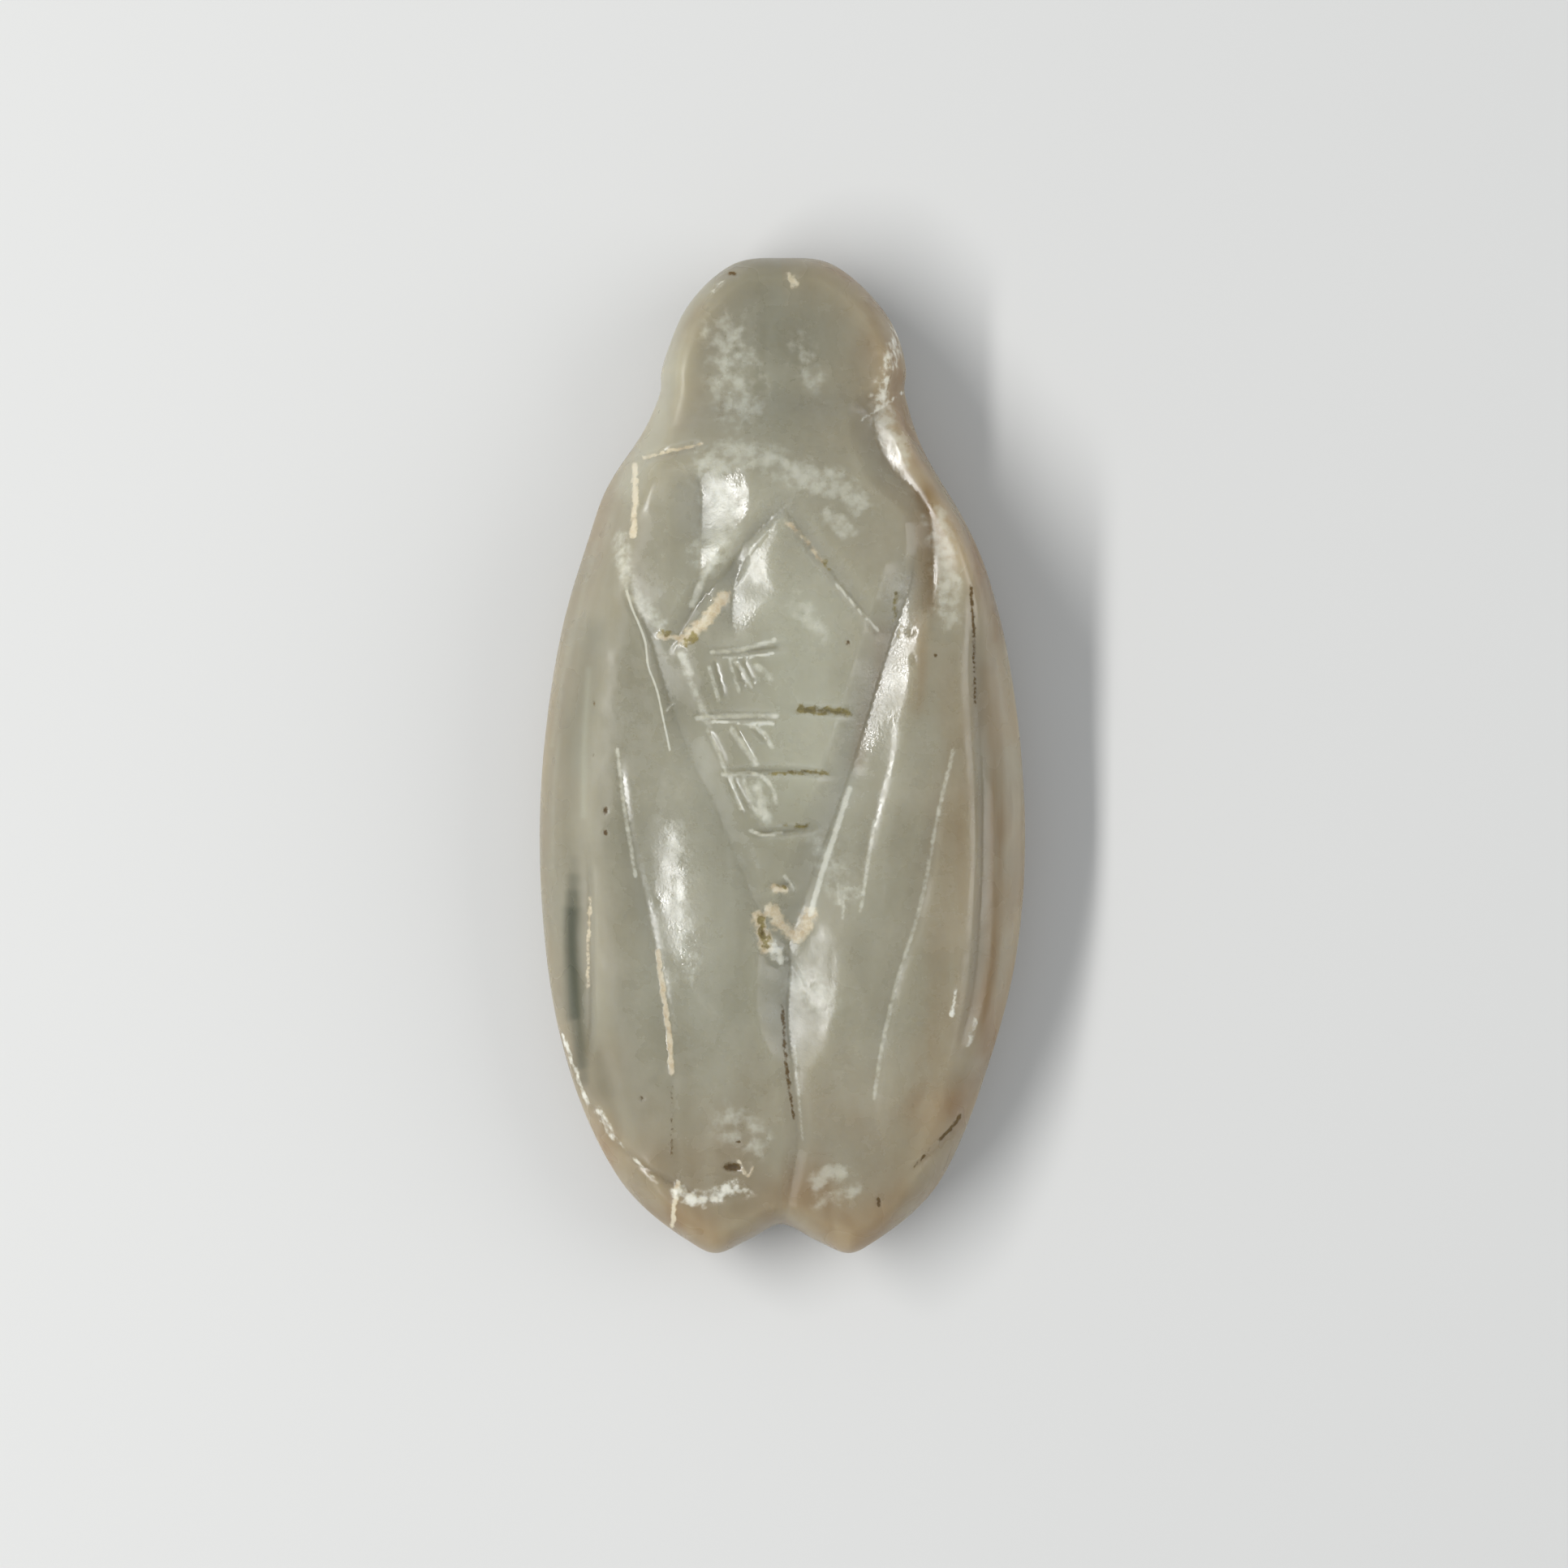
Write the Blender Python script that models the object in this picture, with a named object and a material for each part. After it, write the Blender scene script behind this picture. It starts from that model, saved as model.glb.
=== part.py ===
"""Cicada amulet, carved from one pebble of pale, cloudy chalcedony.

It lies on its flat underside. Seen from above, +Y runs to the head and +X to the right, and
+Z rises out of the carved back. The origin is on the ground, below the middle of the stone.
"""

import math

import bmesh
import bpy
import numpy as np
from mathutils import Vector
from mathutils.geometry import delaunay_2d_cdt
from mathutils.kdtree import KDTree

# Driving sizes, in metres
LENGTH = 0.055  # crown of the head to the wing tips
WIDTH = 0.0268  # across the folded wings
THICKNESS = 0.0092  # ground to the crest of the back
RIM_HEIGHT = 0.0032  # ground to the widest line of the edge
RIM_ROUND = 0.0014  # how far in from the edge the back's rounding reaches
RIM_SHOULDER = 0.0015  # how high that rounding stands over the widest line
BELLY_ROUND = 0.0048  # how far in from the edge the underside's rounding reaches

# The lapidary's cuts: depths, and the widths of their flanks
TROUGH_DEPTH = 0.00086  # the two deep cuts that part the body from the wings
LEDGE_DEPTH = 0.00009  # the bevel under the right wing's inner ridge
LEDGE_FLANK = 0.00045
HOLLOW_DEPTH = 0.00090  # behind each shoulder, where the wing is rooted
HOLLOW_BODY_FLANK = 0.00140
HOLLOW_WING_FLANK = 0.00150
FLANGE_RISE = 0.00055  # the raised edge of the right wing's root
FLANGE_INNER_FLANK = 0.00130
FLANGE_OUTER_FLANK = 0.00070
VEIN_DEPTH = 0.00014  # slanting cuts down each wing, steep on one side
OUTER_VEIN_DEPTH = 0.00022
STEEP_FLANK = 0.00040
OUTER_VEIN_FLANK = 0.00070
LOBE_DEPTH = 0.00046  # the soft fall beside the left wing's inner lobe
LOBE_REACH = 0.00155
CHEST_DEPTH = 0.00080  # a slanting cut across the left of the thorax
CHEST_OUTER_FLANK = 0.00180
CHEVRON_DEPTH = 0.00048  # the V across the thorax
CHEVRON_UPPER_FLANK = 0.00095
FACET_DEPTH = 0.00060  # a slanting cut below the V's left arm
SEAM_DEPTH = 0.00100  # between the two wings, behind the abdomen
NECK_DEPTH = 0.00050
NECK_SPREAD = 0.00130
EYE_RISE = 0.00045
LINE_DEPTH = 0.00024  # short wheel cuts: abdomen, wing margins, shoulders
LINE_FLANK = 0.00032
BELLY_LINE_DEPTH = 0.00030  # the plainer cuts of the underside
BELLY_LINE_FLANK = 0.00045
LIP = 0.10  # share of a flank over which its polished lip is rounded

# Spacing of the mesh
EDGE_STEP = 0.00100
CUT_STEP = 0.00062
FILL_STEP = 0.00090
BELLY_STEP = 0.00190

# Half of the outline, from crown to tail notch: (share of the half width, share of the length)
HALF_OUTLINE = (
    (0.000, 0.500),
    (0.201, 0.494),
    (0.410, 0.447),
    (0.503, 0.388),
    (0.564, 0.324),
    (0.744, 0.246),
    (0.911, 0.123),
    (1.000, -0.081),
    (0.915, -0.268),
    (0.647, -0.431),
    (0.370, -0.490),
    (0.274, -0.500),
    (0.140, -0.487),
    (0.000, -0.471),
)
# The hand-cut outline isn't even: (share of the half width to +X, its middle, its reach)
OUTLINE_DRIFT = ((0.012, 0.420, 0.040), (-0.028, 0.280, 0.050), (-0.018, -0.330, 0.110))

# Height of the uncut back along its middle: (share of the length, share of the thickness)
CREST = (
    (0.500, 0.62),
    (0.450, 0.69),
    (0.390, 0.76),
    (0.330, 0.80),
    (0.265, 0.93),
    (0.190, 1.00),
    (0.060, 0.98),
    (-0.120, 0.91),
    (-0.300, 0.79),
    (-0.420, 0.67),
    (-0.500, 0.59),
)
END_HALF_WIDTH = 0.30
LEAST_HALF_WIDTH = 0.46  # the back's fall to the sides, where the outline closes in
LEAST_POWER = 6
EASY_FALL = 0.32  # share of the height lost on the gentle slope, before the bevel to the edge
EASY_POWER = 1.6
KNEE = 0.77  # where the bevel starts
KNEE_ROUND = 0.022
SHOULDER_SWELL = 0.30  # the right shoulder stands up almost to the edge
SHOULDER_PLACE = 0.225
SHOULDER_REACH = 0.090

# Each long cut: its bottom line from head to tail, (share of the half width, share of the length),
# then (share of the run, value) for flanks in metres and for strength. Right side first.
TROUGHS = (
    (
        (0.470, 0.290), (0.535, 0.225), (0.525, 0.175), (0.455, 0.123), (0.371, 0.058), (0.288, -0.007),
        (0.194, -0.073), (0.094, -0.138), (0.020, -0.195),
    ),
    (
        (-0.600, 0.280), (-0.615, 0.220), (-0.609, 0.156), (-0.549, 0.123), (-0.488, 0.074), (-0.381, 0.001),
        (-0.281, -0.048), (-0.197, -0.097), (-0.114, -0.146), (0.010, -0.195),
    ),
)
TROUGH_BODY_FLANKS = (
    0.0016,
    ((0.0, 0.0012), (0.24, 0.0021), (0.45, 0.0021), (0.75, 0.0013), (1.0, 0.0007)),
)
TROUGH_WING_FLANKS = (
    (
        (0.0, 0.0010), (0.30, 0.00145), (0.38, 0.00145), (0.45, 0.0018), (0.60, 0.0022), (0.85, 0.0029),
        (1.0, 0.0020),
    ),
    ((0.0, 0.0005), (0.40, 0.0006), (0.60, 0.0012), (0.8, 0.0021), (1.0, 0.0030)),
)
TROUGH_STRENGTHS = (
    ((0.0, 0.0), (0.15, 0.1), (0.25, 0.85), (0.40, 1.0), (0.60, 1.0), (0.78, 0.7), (0.95, 0.5), (1.0, 0.1)),
    (
        (0.0, 0.0), (0.16, 0.0), (0.24, 0.25), (0.36, 0.34), (0.47, 0.28), (0.56, 0.22), (0.92, 0.22),
        (1.0, 0.1),
    ),
)
LEDGE = ((0.450, 0.040), (0.435, -0.007), (0.398, -0.040), (0.365, -0.073), (0.331, -0.105), (0.306, -0.145))
LEDGE_FALL = ((0.0, 0.0006), (0.4, 0.0013), (1.0, 0.0018))
LEDGE_STRENGTH = ((0.0, 0.0), (0.3, 1.0), (0.7, 1.0), (1.0, 0.0))
HOLLOWS = (
    (
        (0.371, 0.339), (0.382, 0.317), (0.440, 0.286), (0.548, 0.261), (0.599, 0.237), (0.609, 0.205),
        (0.612, 0.156), (0.592, 0.107),
    ),
    ((-0.560, 0.300), (-0.612, 0.270), (-0.640, 0.215), (-0.680, 0.150)),
)
HOLLOW_STRENGTHS = (
    ((0.0, 0.5), (0.12, 0.8), (0.28, 0.85), (0.5, 0.55), (0.78, 0.42), (1.0, 0.0)),
    ((0.0, 0.0), (0.4, 0.2), (1.0, 0.0)),
)
FLANGE = (
    (0.455, 0.347), (0.505, 0.319), (0.582, 0.286), (0.649, 0.254), (0.716, 0.221), (0.763, 0.188),
    (0.789, 0.150),
)
FLANGE_STRENGTH = ((0.0, 0.0), (0.2, 0.40), (0.5, 0.40), (0.8, 0.3), (1.0, 0.0))
VEINS = (
    (
        (0.689, 0.013), (0.629, -0.064), (0.569, -0.148), (0.465, -0.225), (0.401, -0.293),
        (0.375, -0.342), (0.383, -0.400),
    ),
    (
        (-0.672, 0.006), (-0.622, -0.080), (-0.538, -0.169), (-0.475, -0.252), (-0.452, -0.317),
        (-0.435, -0.423), (-0.455, -0.477),
    ),
)
VEIN_FLANK = ((0.0, 0.0003), (0.4, 0.0011), (1.0, 0.0012))
VEIN_STRENGTHS = (
    ((0.0, 0.0), (0.25, 0.9), (0.6, 1.0), (0.8, 0.6), (1.0, 0.0)),
    ((0.0, 0.0), (0.08, 0.75), (0.45, 0.80), (0.65, 0.35), (1.0, 0.2)),
)
OUTER_VEINS = (
    (
        (0.749, 0.197), (0.776, 0.138), (0.796, 0.058), (0.816, -0.056), (0.809, -0.146),
        (0.779, -0.236), (0.700, -0.315),
    ),
    (
        (-0.756, 0.139), (-0.793, 0.066), (-0.813, -0.015), (-0.803, -0.081), (-0.789, -0.162),
        (-0.786, -0.260), (-0.800, -0.316),
    ),
)
OUTER_VEIN_STRENGTHS = (
    ((0.0, 0.0), (0.2, 0.7), (0.5, 1.0), (0.85, 1.0), (1.0, 0.0)),
    ((0.0, 0.0), (0.45, 0.1), (0.62, 1.0), (0.9, 1.0), (1.0, 0.0)),
)
LOBE = ((-0.535, -0.045), (-0.535, -0.122), (-0.512, -0.170), (-0.438, -0.225))
SEAM = (
    (0.022, -0.165), (0.030, -0.219), (0.018, -0.256), (0.040, -0.317), (0.060, -0.383),
    (0.030, -0.431), (0.0, -0.474),
)
SEAM_LEFT_FLANK = ((0.0, 0.0020), (0.27, 0.0017), (0.5, 0.0009), (1.0, 0.0007))
SEAM_RIGHT_FLANK = (
    (0.0, 0.0012), (0.14, 0.0018), (0.27, 0.0030), (0.39, 0.0022), (0.5, 0.0008), (1.0, 0.0005),
)
SEAM_STRENGTH = ((0.0, 0.3), (0.14, 0.6), (0.27, 1.0), (0.39, 0.75), (0.5, 0.3), (0.7, 0.15), (1.0, 0.15))
CHEST = ((-0.355, 0.289), (-0.334, 0.260), (-0.334, 0.205), (-0.345, 0.180), (-0.381, 0.150))
CHEST_INNER_FLANK = (
    (0.0, 0.0022), (0.17, 0.0027), (0.36, 0.0027), (0.55, 0.0018), (0.75, 0.0010), (1.0, 0.0006),
)
CHEST_STRENGTH = ((0.0, 0.0), (0.15, 0.8), (0.30, 1.0), (0.45, 0.95), (0.60, 0.50), (0.75, 0.3), (1.0, 0.0))
CHEVRON = (
    ((0.005, 0.246), (0.120, 0.205), (0.187, 0.184), (0.395, 0.122)),
    (
        (0.003, 0.246), (-0.107, 0.221), (-0.167, 0.205), (-0.207, 0.188), (-0.281, 0.168), (-0.355, 0.148),
        (-0.425, 0.115),
    ),
)
CHEVRON_LOWER_FLANKS = (
    0.00045,
    ((0.0, 0.0003), (0.3, 0.0005), (0.5, 0.0009), (0.75, 0.0009), (1.0, 0.0004)),
)
CHEVRON_STRENGTHS = (
    ((0.0, 0.3), (0.3, 0.5), (1.0, 0.25)),
    ((0.0, 0.4), (0.25, 1.0), (0.7, 0.9), (1.0, 0.4)),
)
FACET = (
    (-0.045, 0.232), (-0.057, 0.221), (-0.107, 0.205), (-0.167, 0.188), (-0.194, 0.172), (-0.207, 0.156),
    (-0.207, 0.135), (-0.190, 0.115),
)
FACET_INNER_FLANK = (
    (0.0, 0.0002), (0.2, 0.0007), (0.4, 0.0019), (0.55, 0.0024), (0.72, 0.0017), (1.0, 0.0010),
)
FACET_OUTER_FLANK = ((0.0, 0.0003), (0.4, 0.0007), (1.0, 0.0014))
FACET_STRENGTH = ((0.0, 0.1), (0.2, 0.3), (0.4, 0.8), (0.55, 1.0), (0.72, 0.85), (1.0, 0.0))
NECK = ((-0.520, 0.330), (-0.200, 0.345), (0.200, 0.348), (0.480, 0.345))
EYES = ((-0.425, 0.402), (0.445, 0.402))
EYE_REACH = (0.085, 0.052)

# Short cuts with even flanks
ABDOMEN_LINES = (
    ((-0.288, 0.102), (-0.147, 0.104), (0.020, 0.108)),
    ((-0.345, 0.038), (-0.181, 0.039), (-0.020, 0.037)),
    ((0.060, 0.046), (0.161, 0.044), (0.270, 0.042)),
    ((-0.235, -0.018), (-0.013, -0.015), (0.200, -0.019)),
    ((-0.120, -0.077), (0.003, -0.076), (0.125, -0.071)),
    ((-0.054, -0.130), (0.045, -0.128)),
)
SHOULDER_LINE = ((-0.600, 0.294), (-0.482, 0.301), (-0.321, 0.311))
MARGINS = (
    ((0.860, -0.300), (0.739, -0.362), (0.622, -0.395), (0.522, -0.417), (0.388, -0.436), (0.120, -0.441)),
    (
        (-0.880, -0.290), (-0.779, -0.354), (-0.599, -0.406), (-0.431, -0.430), (-0.308, -0.443),
        (-0.150, -0.434),
    ),
)
LINE_STRENGTH = ((0.0, 0.2), (0.2, 1.0), (0.8, 1.0), (1.0, 0.2))

# The underside: the insect's belly, simply cut
BELLY_NECK = ((-0.400, 0.320), (0.0, 0.300), (0.400, 0.320))
BELLY_WING = ((0.420, 0.250), (0.360, 0.050), (0.200, -0.170), (0.040, -0.330))
BELLY_RINGS = 5
BELLY_RING_FIRST = 0.060
BELLY_RING_GAP = 0.060
BELLY_RING_BOW = 0.012
BELLY_RING_REACH = 0.86  # of the way to the wing lines
BELLY_LINE_STRENGTH = ((0.0, 0.0), (0.15, 1.0), (0.85, 1.0), (1.0, 0.0))

# Points on the curves, rows round the edge by their angles, and how far points keep apart,
# as shares of their step
OUTLINE_POINTS = 720
CURVE_STEPS = 24
LEAST_RUN_POINTS = 8
RUN_STEP = 0.00025  # between the points of a cut's bottom line
CHUNK = 4000  # points measured at a time
RIM_ROWS = (28, 52, 74, 90)
BELLY_ROWS = (30, 54, 74, 90)
ROW_TRUE = 0.96
RIM_APART = 0.12
RIM_CLEAR = 0.40
CUT_APART = 0.24
FILL_APART = 0.60
BELLY_RIM_APART = 0.30
BELLY_LINE_APART = 0.70
BELLY_LINE_STEP = 0.50
WIDE_FLANK = 1.4

STONE = (0.36, 0.33, 0.26, 1.0)
STONE_ROUGHNESS = 0.22
STONE_CLOUD = 0.8
STONE_CLOUD_REACH = (0.0030, 0.0027, 0.0021)
SHARP_ANGLE = 40


def spot(pairs):
    """Metres from pairs of shares: of the half width, and of the length."""
    return np.asarray(pairs, float) * (WIDTH / 2, LENGTH)


def through(stations, places):
    """Smooth value at each place, through (place, value) stations, level beyond the ends."""
    at, value = np.array(sorted(stations), float).T
    step = np.diff(at)
    slope = np.diff(value) / step
    tangent = np.concatenate([slope[:1], np.zeros(len(at) - 2), slope[-1:]])
    for i in range(1, len(at) - 1):
        if slope[i - 1] * slope[i] > 0:
            tangent[i] = 2 * slope[i - 1] * slope[i] / (slope[i - 1] + slope[i])
    place = np.clip(places, at[0], at[-1])
    i = np.clip(np.searchsorted(at, place) - 1, 0, len(at) - 2)
    t = (place - at[i]) / step[i]
    start = (1 + 2 * t) * (1 - t) ** 2 * value[i] + t * (1 - t) ** 2 * step[i] * tangent[i]
    end = t * t * (3 - 2 * t) * value[i + 1] + t * t * (t - 1) * step[i] * tangent[i + 1]
    return start + end


def smooth_path(points, count, closed=False):
    """A centripetal Catmull-Rom curve through the points, as evenly spaced points."""
    points = np.asarray(points, float)
    if closed:
        ring = np.vstack([points[-1:], points, points[:2]])
    else:
        ring = np.vstack([2 * points[0] - points[1], points, 2 * points[-1] - points[-2]])
    fine = []
    for p0, p1, p2, p3 in zip(ring, ring[1:], ring[2:], ring[3:]):
        t0, t1 = 0.0, math.sqrt(np.linalg.norm(p1 - p0))
        t2 = t1 + math.sqrt(np.linalg.norm(p2 - p1))
        t3 = t2 + math.sqrt(np.linalg.norm(p3 - p2))
        t = np.linspace(t1, t2, CURVE_STEPS, endpoint=False)[:, None]
        a1 = ((t1 - t) * p0 + (t - t0) * p1) / (t1 - t0)
        a2 = ((t2 - t) * p1 + (t - t1) * p2) / (t2 - t1)
        a3 = ((t3 - t) * p2 + (t - t2) * p3) / (t3 - t2)
        b1 = ((t2 - t) * a1 + (t - t0) * a2) / (t2 - t0)
        b2 = ((t3 - t) * a2 + (t - t1) * a3) / (t3 - t1)
        fine.append(((t2 - t) * b1 + (t - t1) * b2) / (t2 - t1))
    fine = np.vstack([*fine, ring[-2:-1]])
    run = np.concatenate([[0], np.cumsum(np.linalg.norm(np.diff(fine, axis=0), axis=1))])
    wanted = np.linspace(0, run[-1], count, endpoint=not closed)
    return np.stack([np.interp(wanted, run, fine[:, k]) for k in (0, 1)], -1)


def outline_ring(count):
    """The outline of the whole stone, clockwise seen from above."""
    other_half = [(-across, along) for across, along in HALF_OUTLINE[-2:0:-1]]
    ring = smooth_path(spot([*HALF_OUTLINE, *other_half]), count, closed=True)
    for amount, middle, reach in OUTLINE_DRIFT:
        near = np.exp(-(((ring[:, 1] / LENGTH - middle) / reach) ** 2))
        ring[:, 0] += amount * WIDTH / 2 * near
    return ring


def measure(path, points, closed=False):
    """From a path to each point: the distance, positive on the right of its run, and the share run."""
    starts = path if closed else path[:-1]
    runs = (np.roll(path, -1, axis=0) if closed else path[1:]) - starts
    gap = np.full(len(points), np.inf)
    share = np.zeros(len(points))
    for part in np.array_split(np.arange(len(points)), len(points) // CHUNK + 1):
        near = points[part]
        closest = ((path**2).sum(1) - 2 * near @ path.T).argmin(1)
        for before in (1, 0):
            i = (closest - before) % len(starts) if closed else np.clip(closest - before, 0, len(starts) - 1)
            offset = near - starts[i]
            t = np.clip((offset * runs[i]).sum(1) / (runs[i] ** 2).sum(1), 0, 1)
            away = np.linalg.norm(offset - t[:, None] * runs[i], axis=1)
            right = np.where(runs[i, 1] * offset[:, 0] - runs[i, 0] * offset[:, 1] < 0, -1, 1)
            closer = away < np.abs(gap[part])
            gap[part[closer]] = (away * right)[closer]
            share[part[closer]] = ((i + t) / len(starts))[closer]
    return gap, share


RING = outline_ring(OUTLINE_POINTS)


def level(value, places):
    """A plain number as it is, stations read at the places."""
    return through(value, places) if isinstance(value, tuple) else np.full(len(places), float(value))


def carve(points, cut):
    """Depth of one cut at each point."""
    path, left_flank, right_flank, depth, strength, hollow = cut
    depths = np.zeros(len(points))
    widest = max(np.atleast_2d(flank)[:, -1].max() for flank in (left_flank, right_flank)) * (1 + LIP)
    low, high = path.min(0) - widest, path.max(0) + widest
    close = np.flatnonzero(((points > low) & (points < high)).all(1))
    gap, share = measure(path, points[close])
    flank = np.where(gap > 0, level(right_flank, share), level(left_flank, share))
    inward = 1 - np.abs(gap) / flank
    lip = np.clip(inward + LIP, 0, 2 * LIP) ** 2 / (4 * LIP)
    inward = np.where(inward > LIP, inward, lip)
    depths[close] = depth * level(strength, share) * inward**hollow
    return depths


def run_of(pairs):
    """A cut's bottom line, in metres."""
    rough = spot(pairs)
    length = np.linalg.norm(np.diff(rough, axis=0), axis=1).sum()
    return smooth_path(rough, max(LEAST_RUN_POINTS, round(length / RUN_STEP)))


def broad_cuts():
    """Cuts that shape the body: path, left and right flank, depth, strength, hollowness."""
    for side, order in ((0, -1), (1, 1)):
        flanks = (TROUGH_BODY_FLANKS[side], TROUGH_WING_FLANKS[side])[::order]
        yield run_of(TROUGHS[side]), *flanks, TROUGH_DEPTH, TROUGH_STRENGTHS[side], 1.0
        flanks = (HOLLOW_BODY_FLANK, HOLLOW_WING_FLANK)[::order]
        yield run_of(HOLLOWS[side]), *flanks, HOLLOW_DEPTH, HOLLOW_STRENGTHS[side], 1.0
        yield run_of(VEINS[side]), STEEP_FLANK, VEIN_FLANK, VEIN_DEPTH, VEIN_STRENGTHS[side], 1.0
        flanks = (STEEP_FLANK, OUTER_VEIN_FLANK)[::order]
        yield run_of(OUTER_VEINS[side]), *flanks, OUTER_VEIN_DEPTH, OUTER_VEIN_STRENGTHS[side], 1.0
    yield run_of(LEDGE), LEDGE_FLANK, LEDGE_FALL, LEDGE_DEPTH, LEDGE_STRENGTH, 1.0
    yield run_of(FLANGE), FLANGE_OUTER_FLANK, FLANGE_INNER_FLANK, -FLANGE_RISE, FLANGE_STRENGTH, 1.0
    yield run_of(CHEST), CHEST_INNER_FLANK, CHEST_OUTER_FLANK, CHEST_DEPTH, CHEST_STRENGTH, 1.0
    yield run_of(FACET), FACET_INNER_FLANK, FACET_OUTER_FLANK, FACET_DEPTH, FACET_STRENGTH, 1.0
    yield run_of(SEAM), SEAM_RIGHT_FLANK, SEAM_LEFT_FLANK, SEAM_DEPTH, SEAM_STRENGTH, 1.0


def fine_cuts():
    """Cuts on top of that shape."""
    for side, order in ((0, 1), (1, -1)):
        flanks = (CHEVRON_UPPER_FLANK, CHEVRON_LOWER_FLANKS[side])[::order]
        yield run_of(CHEVRON[side]), *flanks, CHEVRON_DEPTH, CHEVRON_STRENGTHS[side], 1.0
    for path in (*ABDOMEN_LINES, SHOULDER_LINE, *MARGINS):
        yield run_of(path), LINE_FLANK, LINE_FLANK, LINE_DEPTH, LINE_STRENGTH, 1.0


def belly_cuts():
    """The cuts of the underside: neck, wing edges, and bowed lines across the abdomen."""
    mirrored = tuple((-across, along) for across, along in BELLY_WING)
    paths = [BELLY_NECK, BELLY_WING, mirrored]
    for i in range(BELLY_RINGS):
        along = BELLY_RING_FIRST - i * BELLY_RING_GAP
        reach = BELLY_RING_REACH * np.interp(-along, *np.transpose([(-b, a) for a, b in BELLY_WING]))
        paths.append(((-reach, along + BELLY_RING_BOW), (0.0, along), (reach, along + BELLY_RING_BOW)))
    for path in paths:
        flanks = (BELLY_LINE_FLANK, BELLY_LINE_FLANK)
        yield run_of(path), *flanks, BELLY_LINE_DEPTH, BELLY_LINE_STRENGTH, 1.0


def back_height(points):
    """Height of the carved back over the ground, at points in the plan."""
    across, along = (points / (WIDTH / 2, LENGTH)).T
    edge_gap, _ = measure(RING, points, closed=True)
    sides = [(b, a) for a, b in HALF_OUTLINE[2:-3]]
    half = through([(0.5, END_HALF_WIDTH), *sides, (-0.5, END_HALF_WIDTH)], along)
    half = (half**LEAST_POWER + LEAST_HALF_WIDTH**LEAST_POWER) ** (1 / LEAST_POWER)
    swell = SHOULDER_SWELL * np.exp(-(((along - SHOULDER_PLACE) / SHOULDER_REACH) ** 2))
    out = np.abs(across) / np.where(across > 0, half * (1 + swell), half)
    rise = through(CREST, along) * THICKNESS - RIM_HEIGHT - RIM_SHOULDER
    bevel = np.logaddexp(0, (out - KNEE) / KNEE_ROUND) / np.logaddexp(0, (1 - KNEE) / KNEE_ROUND)
    fall = np.clip(EASY_FALL * out**EASY_POWER + (1 - EASY_FALL) * bevel, 0, 1)
    rounding = np.sqrt(1 - (1 - np.clip(edge_gap / RIM_ROUND, 0, 1)) ** 2)

    cut = sum(carve(points, one) for one in broad_cuts())
    lobe_gap, lobe_share = measure(run_of(LOBE), points)
    lobe_ends = np.clip(4 * lobe_share * (1 - lobe_share), 0, 1)
    cut += LOBE_DEPTH * lobe_ends * np.exp(-((lobe_gap / LOBE_REACH) ** 2))
    neck_gap, _ = measure(run_of(NECK), points)
    cut += NECK_DEPTH * np.exp(-((neck_gap / NECK_SPREAD) ** 2))
    for eye in EYES:
        away = ((across - eye[0]) / EYE_REACH[0]) ** 2 + ((along - eye[1]) / EYE_REACH[1]) ** 2
        cut -= EYE_RISE * np.exp(-away)
    cut += np.max([carve(points, one) for one in fine_cuts()], axis=0)
    return RIM_HEIGHT + (RIM_SHOULDER + rise * (1 - fall) - cut) * rounding


def belly_height(points):
    """Height of the underside over the ground: flat in the middle, rounded up to the edge."""
    edge_gap, _ = measure(RING, points, closed=True)
    rounding = 1 - np.sqrt(1 - (1 - np.clip(edge_gap / BELLY_ROUND, 0, 1)) ** 2)
    cut = np.max([carve(points, one) for one in belly_cuts()], axis=0)
    return RIM_HEIGHT * rounding + cut


def moved(path, distance):
    """A path moved to the right of its run by a distance, or by one for each point."""
    run = np.gradient(path, axis=0)
    right = np.stack([run[:, 1], -run[:, 0]], -1)
    right /= np.linalg.norm(right, axis=1)[:, None]
    return path + right * np.reshape(distance, (-1, 1))


def cut_rows(cut, step):
    """Rows of points along the bottom of a cut, its lips, and the middle of a wide flank."""
    path, left_flank, right_flank = cut[:3]
    length = np.linalg.norm(np.diff(path, axis=0), axis=1).sum()
    path = smooth_path(path, max(3, round(length / step) + 1))
    share = np.linspace(0, 1, len(path))
    yield path
    for flank, side in ((level(left_flank, share), -1), (level(right_flank, share), 1)):
        yield moved(path, side * flank)
        if flank.max() > WIDE_FLANK * step:
            yield moved(path, side * flank / 2)


def inset_rows(ring, insets):
    """Copies of the outline set in from it, less the points where they would cross."""
    for inset in insets:
        run = np.roll(ring, -1, axis=0) - np.roll(ring, 1, axis=0)
        inward = np.stack([run[:, 1], -run[:, 0]], -1)
        row = ring + inward / np.linalg.norm(inward, axis=1)[:, None] * inset
        gap, _ = measure(RING, row, closed=True)
        yield row[gap > inset * ROW_TRUE]


def fill_grid(step):
    """A grid of staggered points over the whole plan."""
    x = np.arange(-WIDTH / 2, WIDTH / 2, step)
    y = np.arange(-LENGTH / 2, LENGTH / 2, step * math.sqrt(3) / 2)
    grid = np.array([(a + (i % 2) * step / 2, b) for i, b in enumerate(y) for a in x])
    gap, _ = measure(RING, grid, closed=True)
    return grid[gap > step * FILL_APART]


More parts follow.
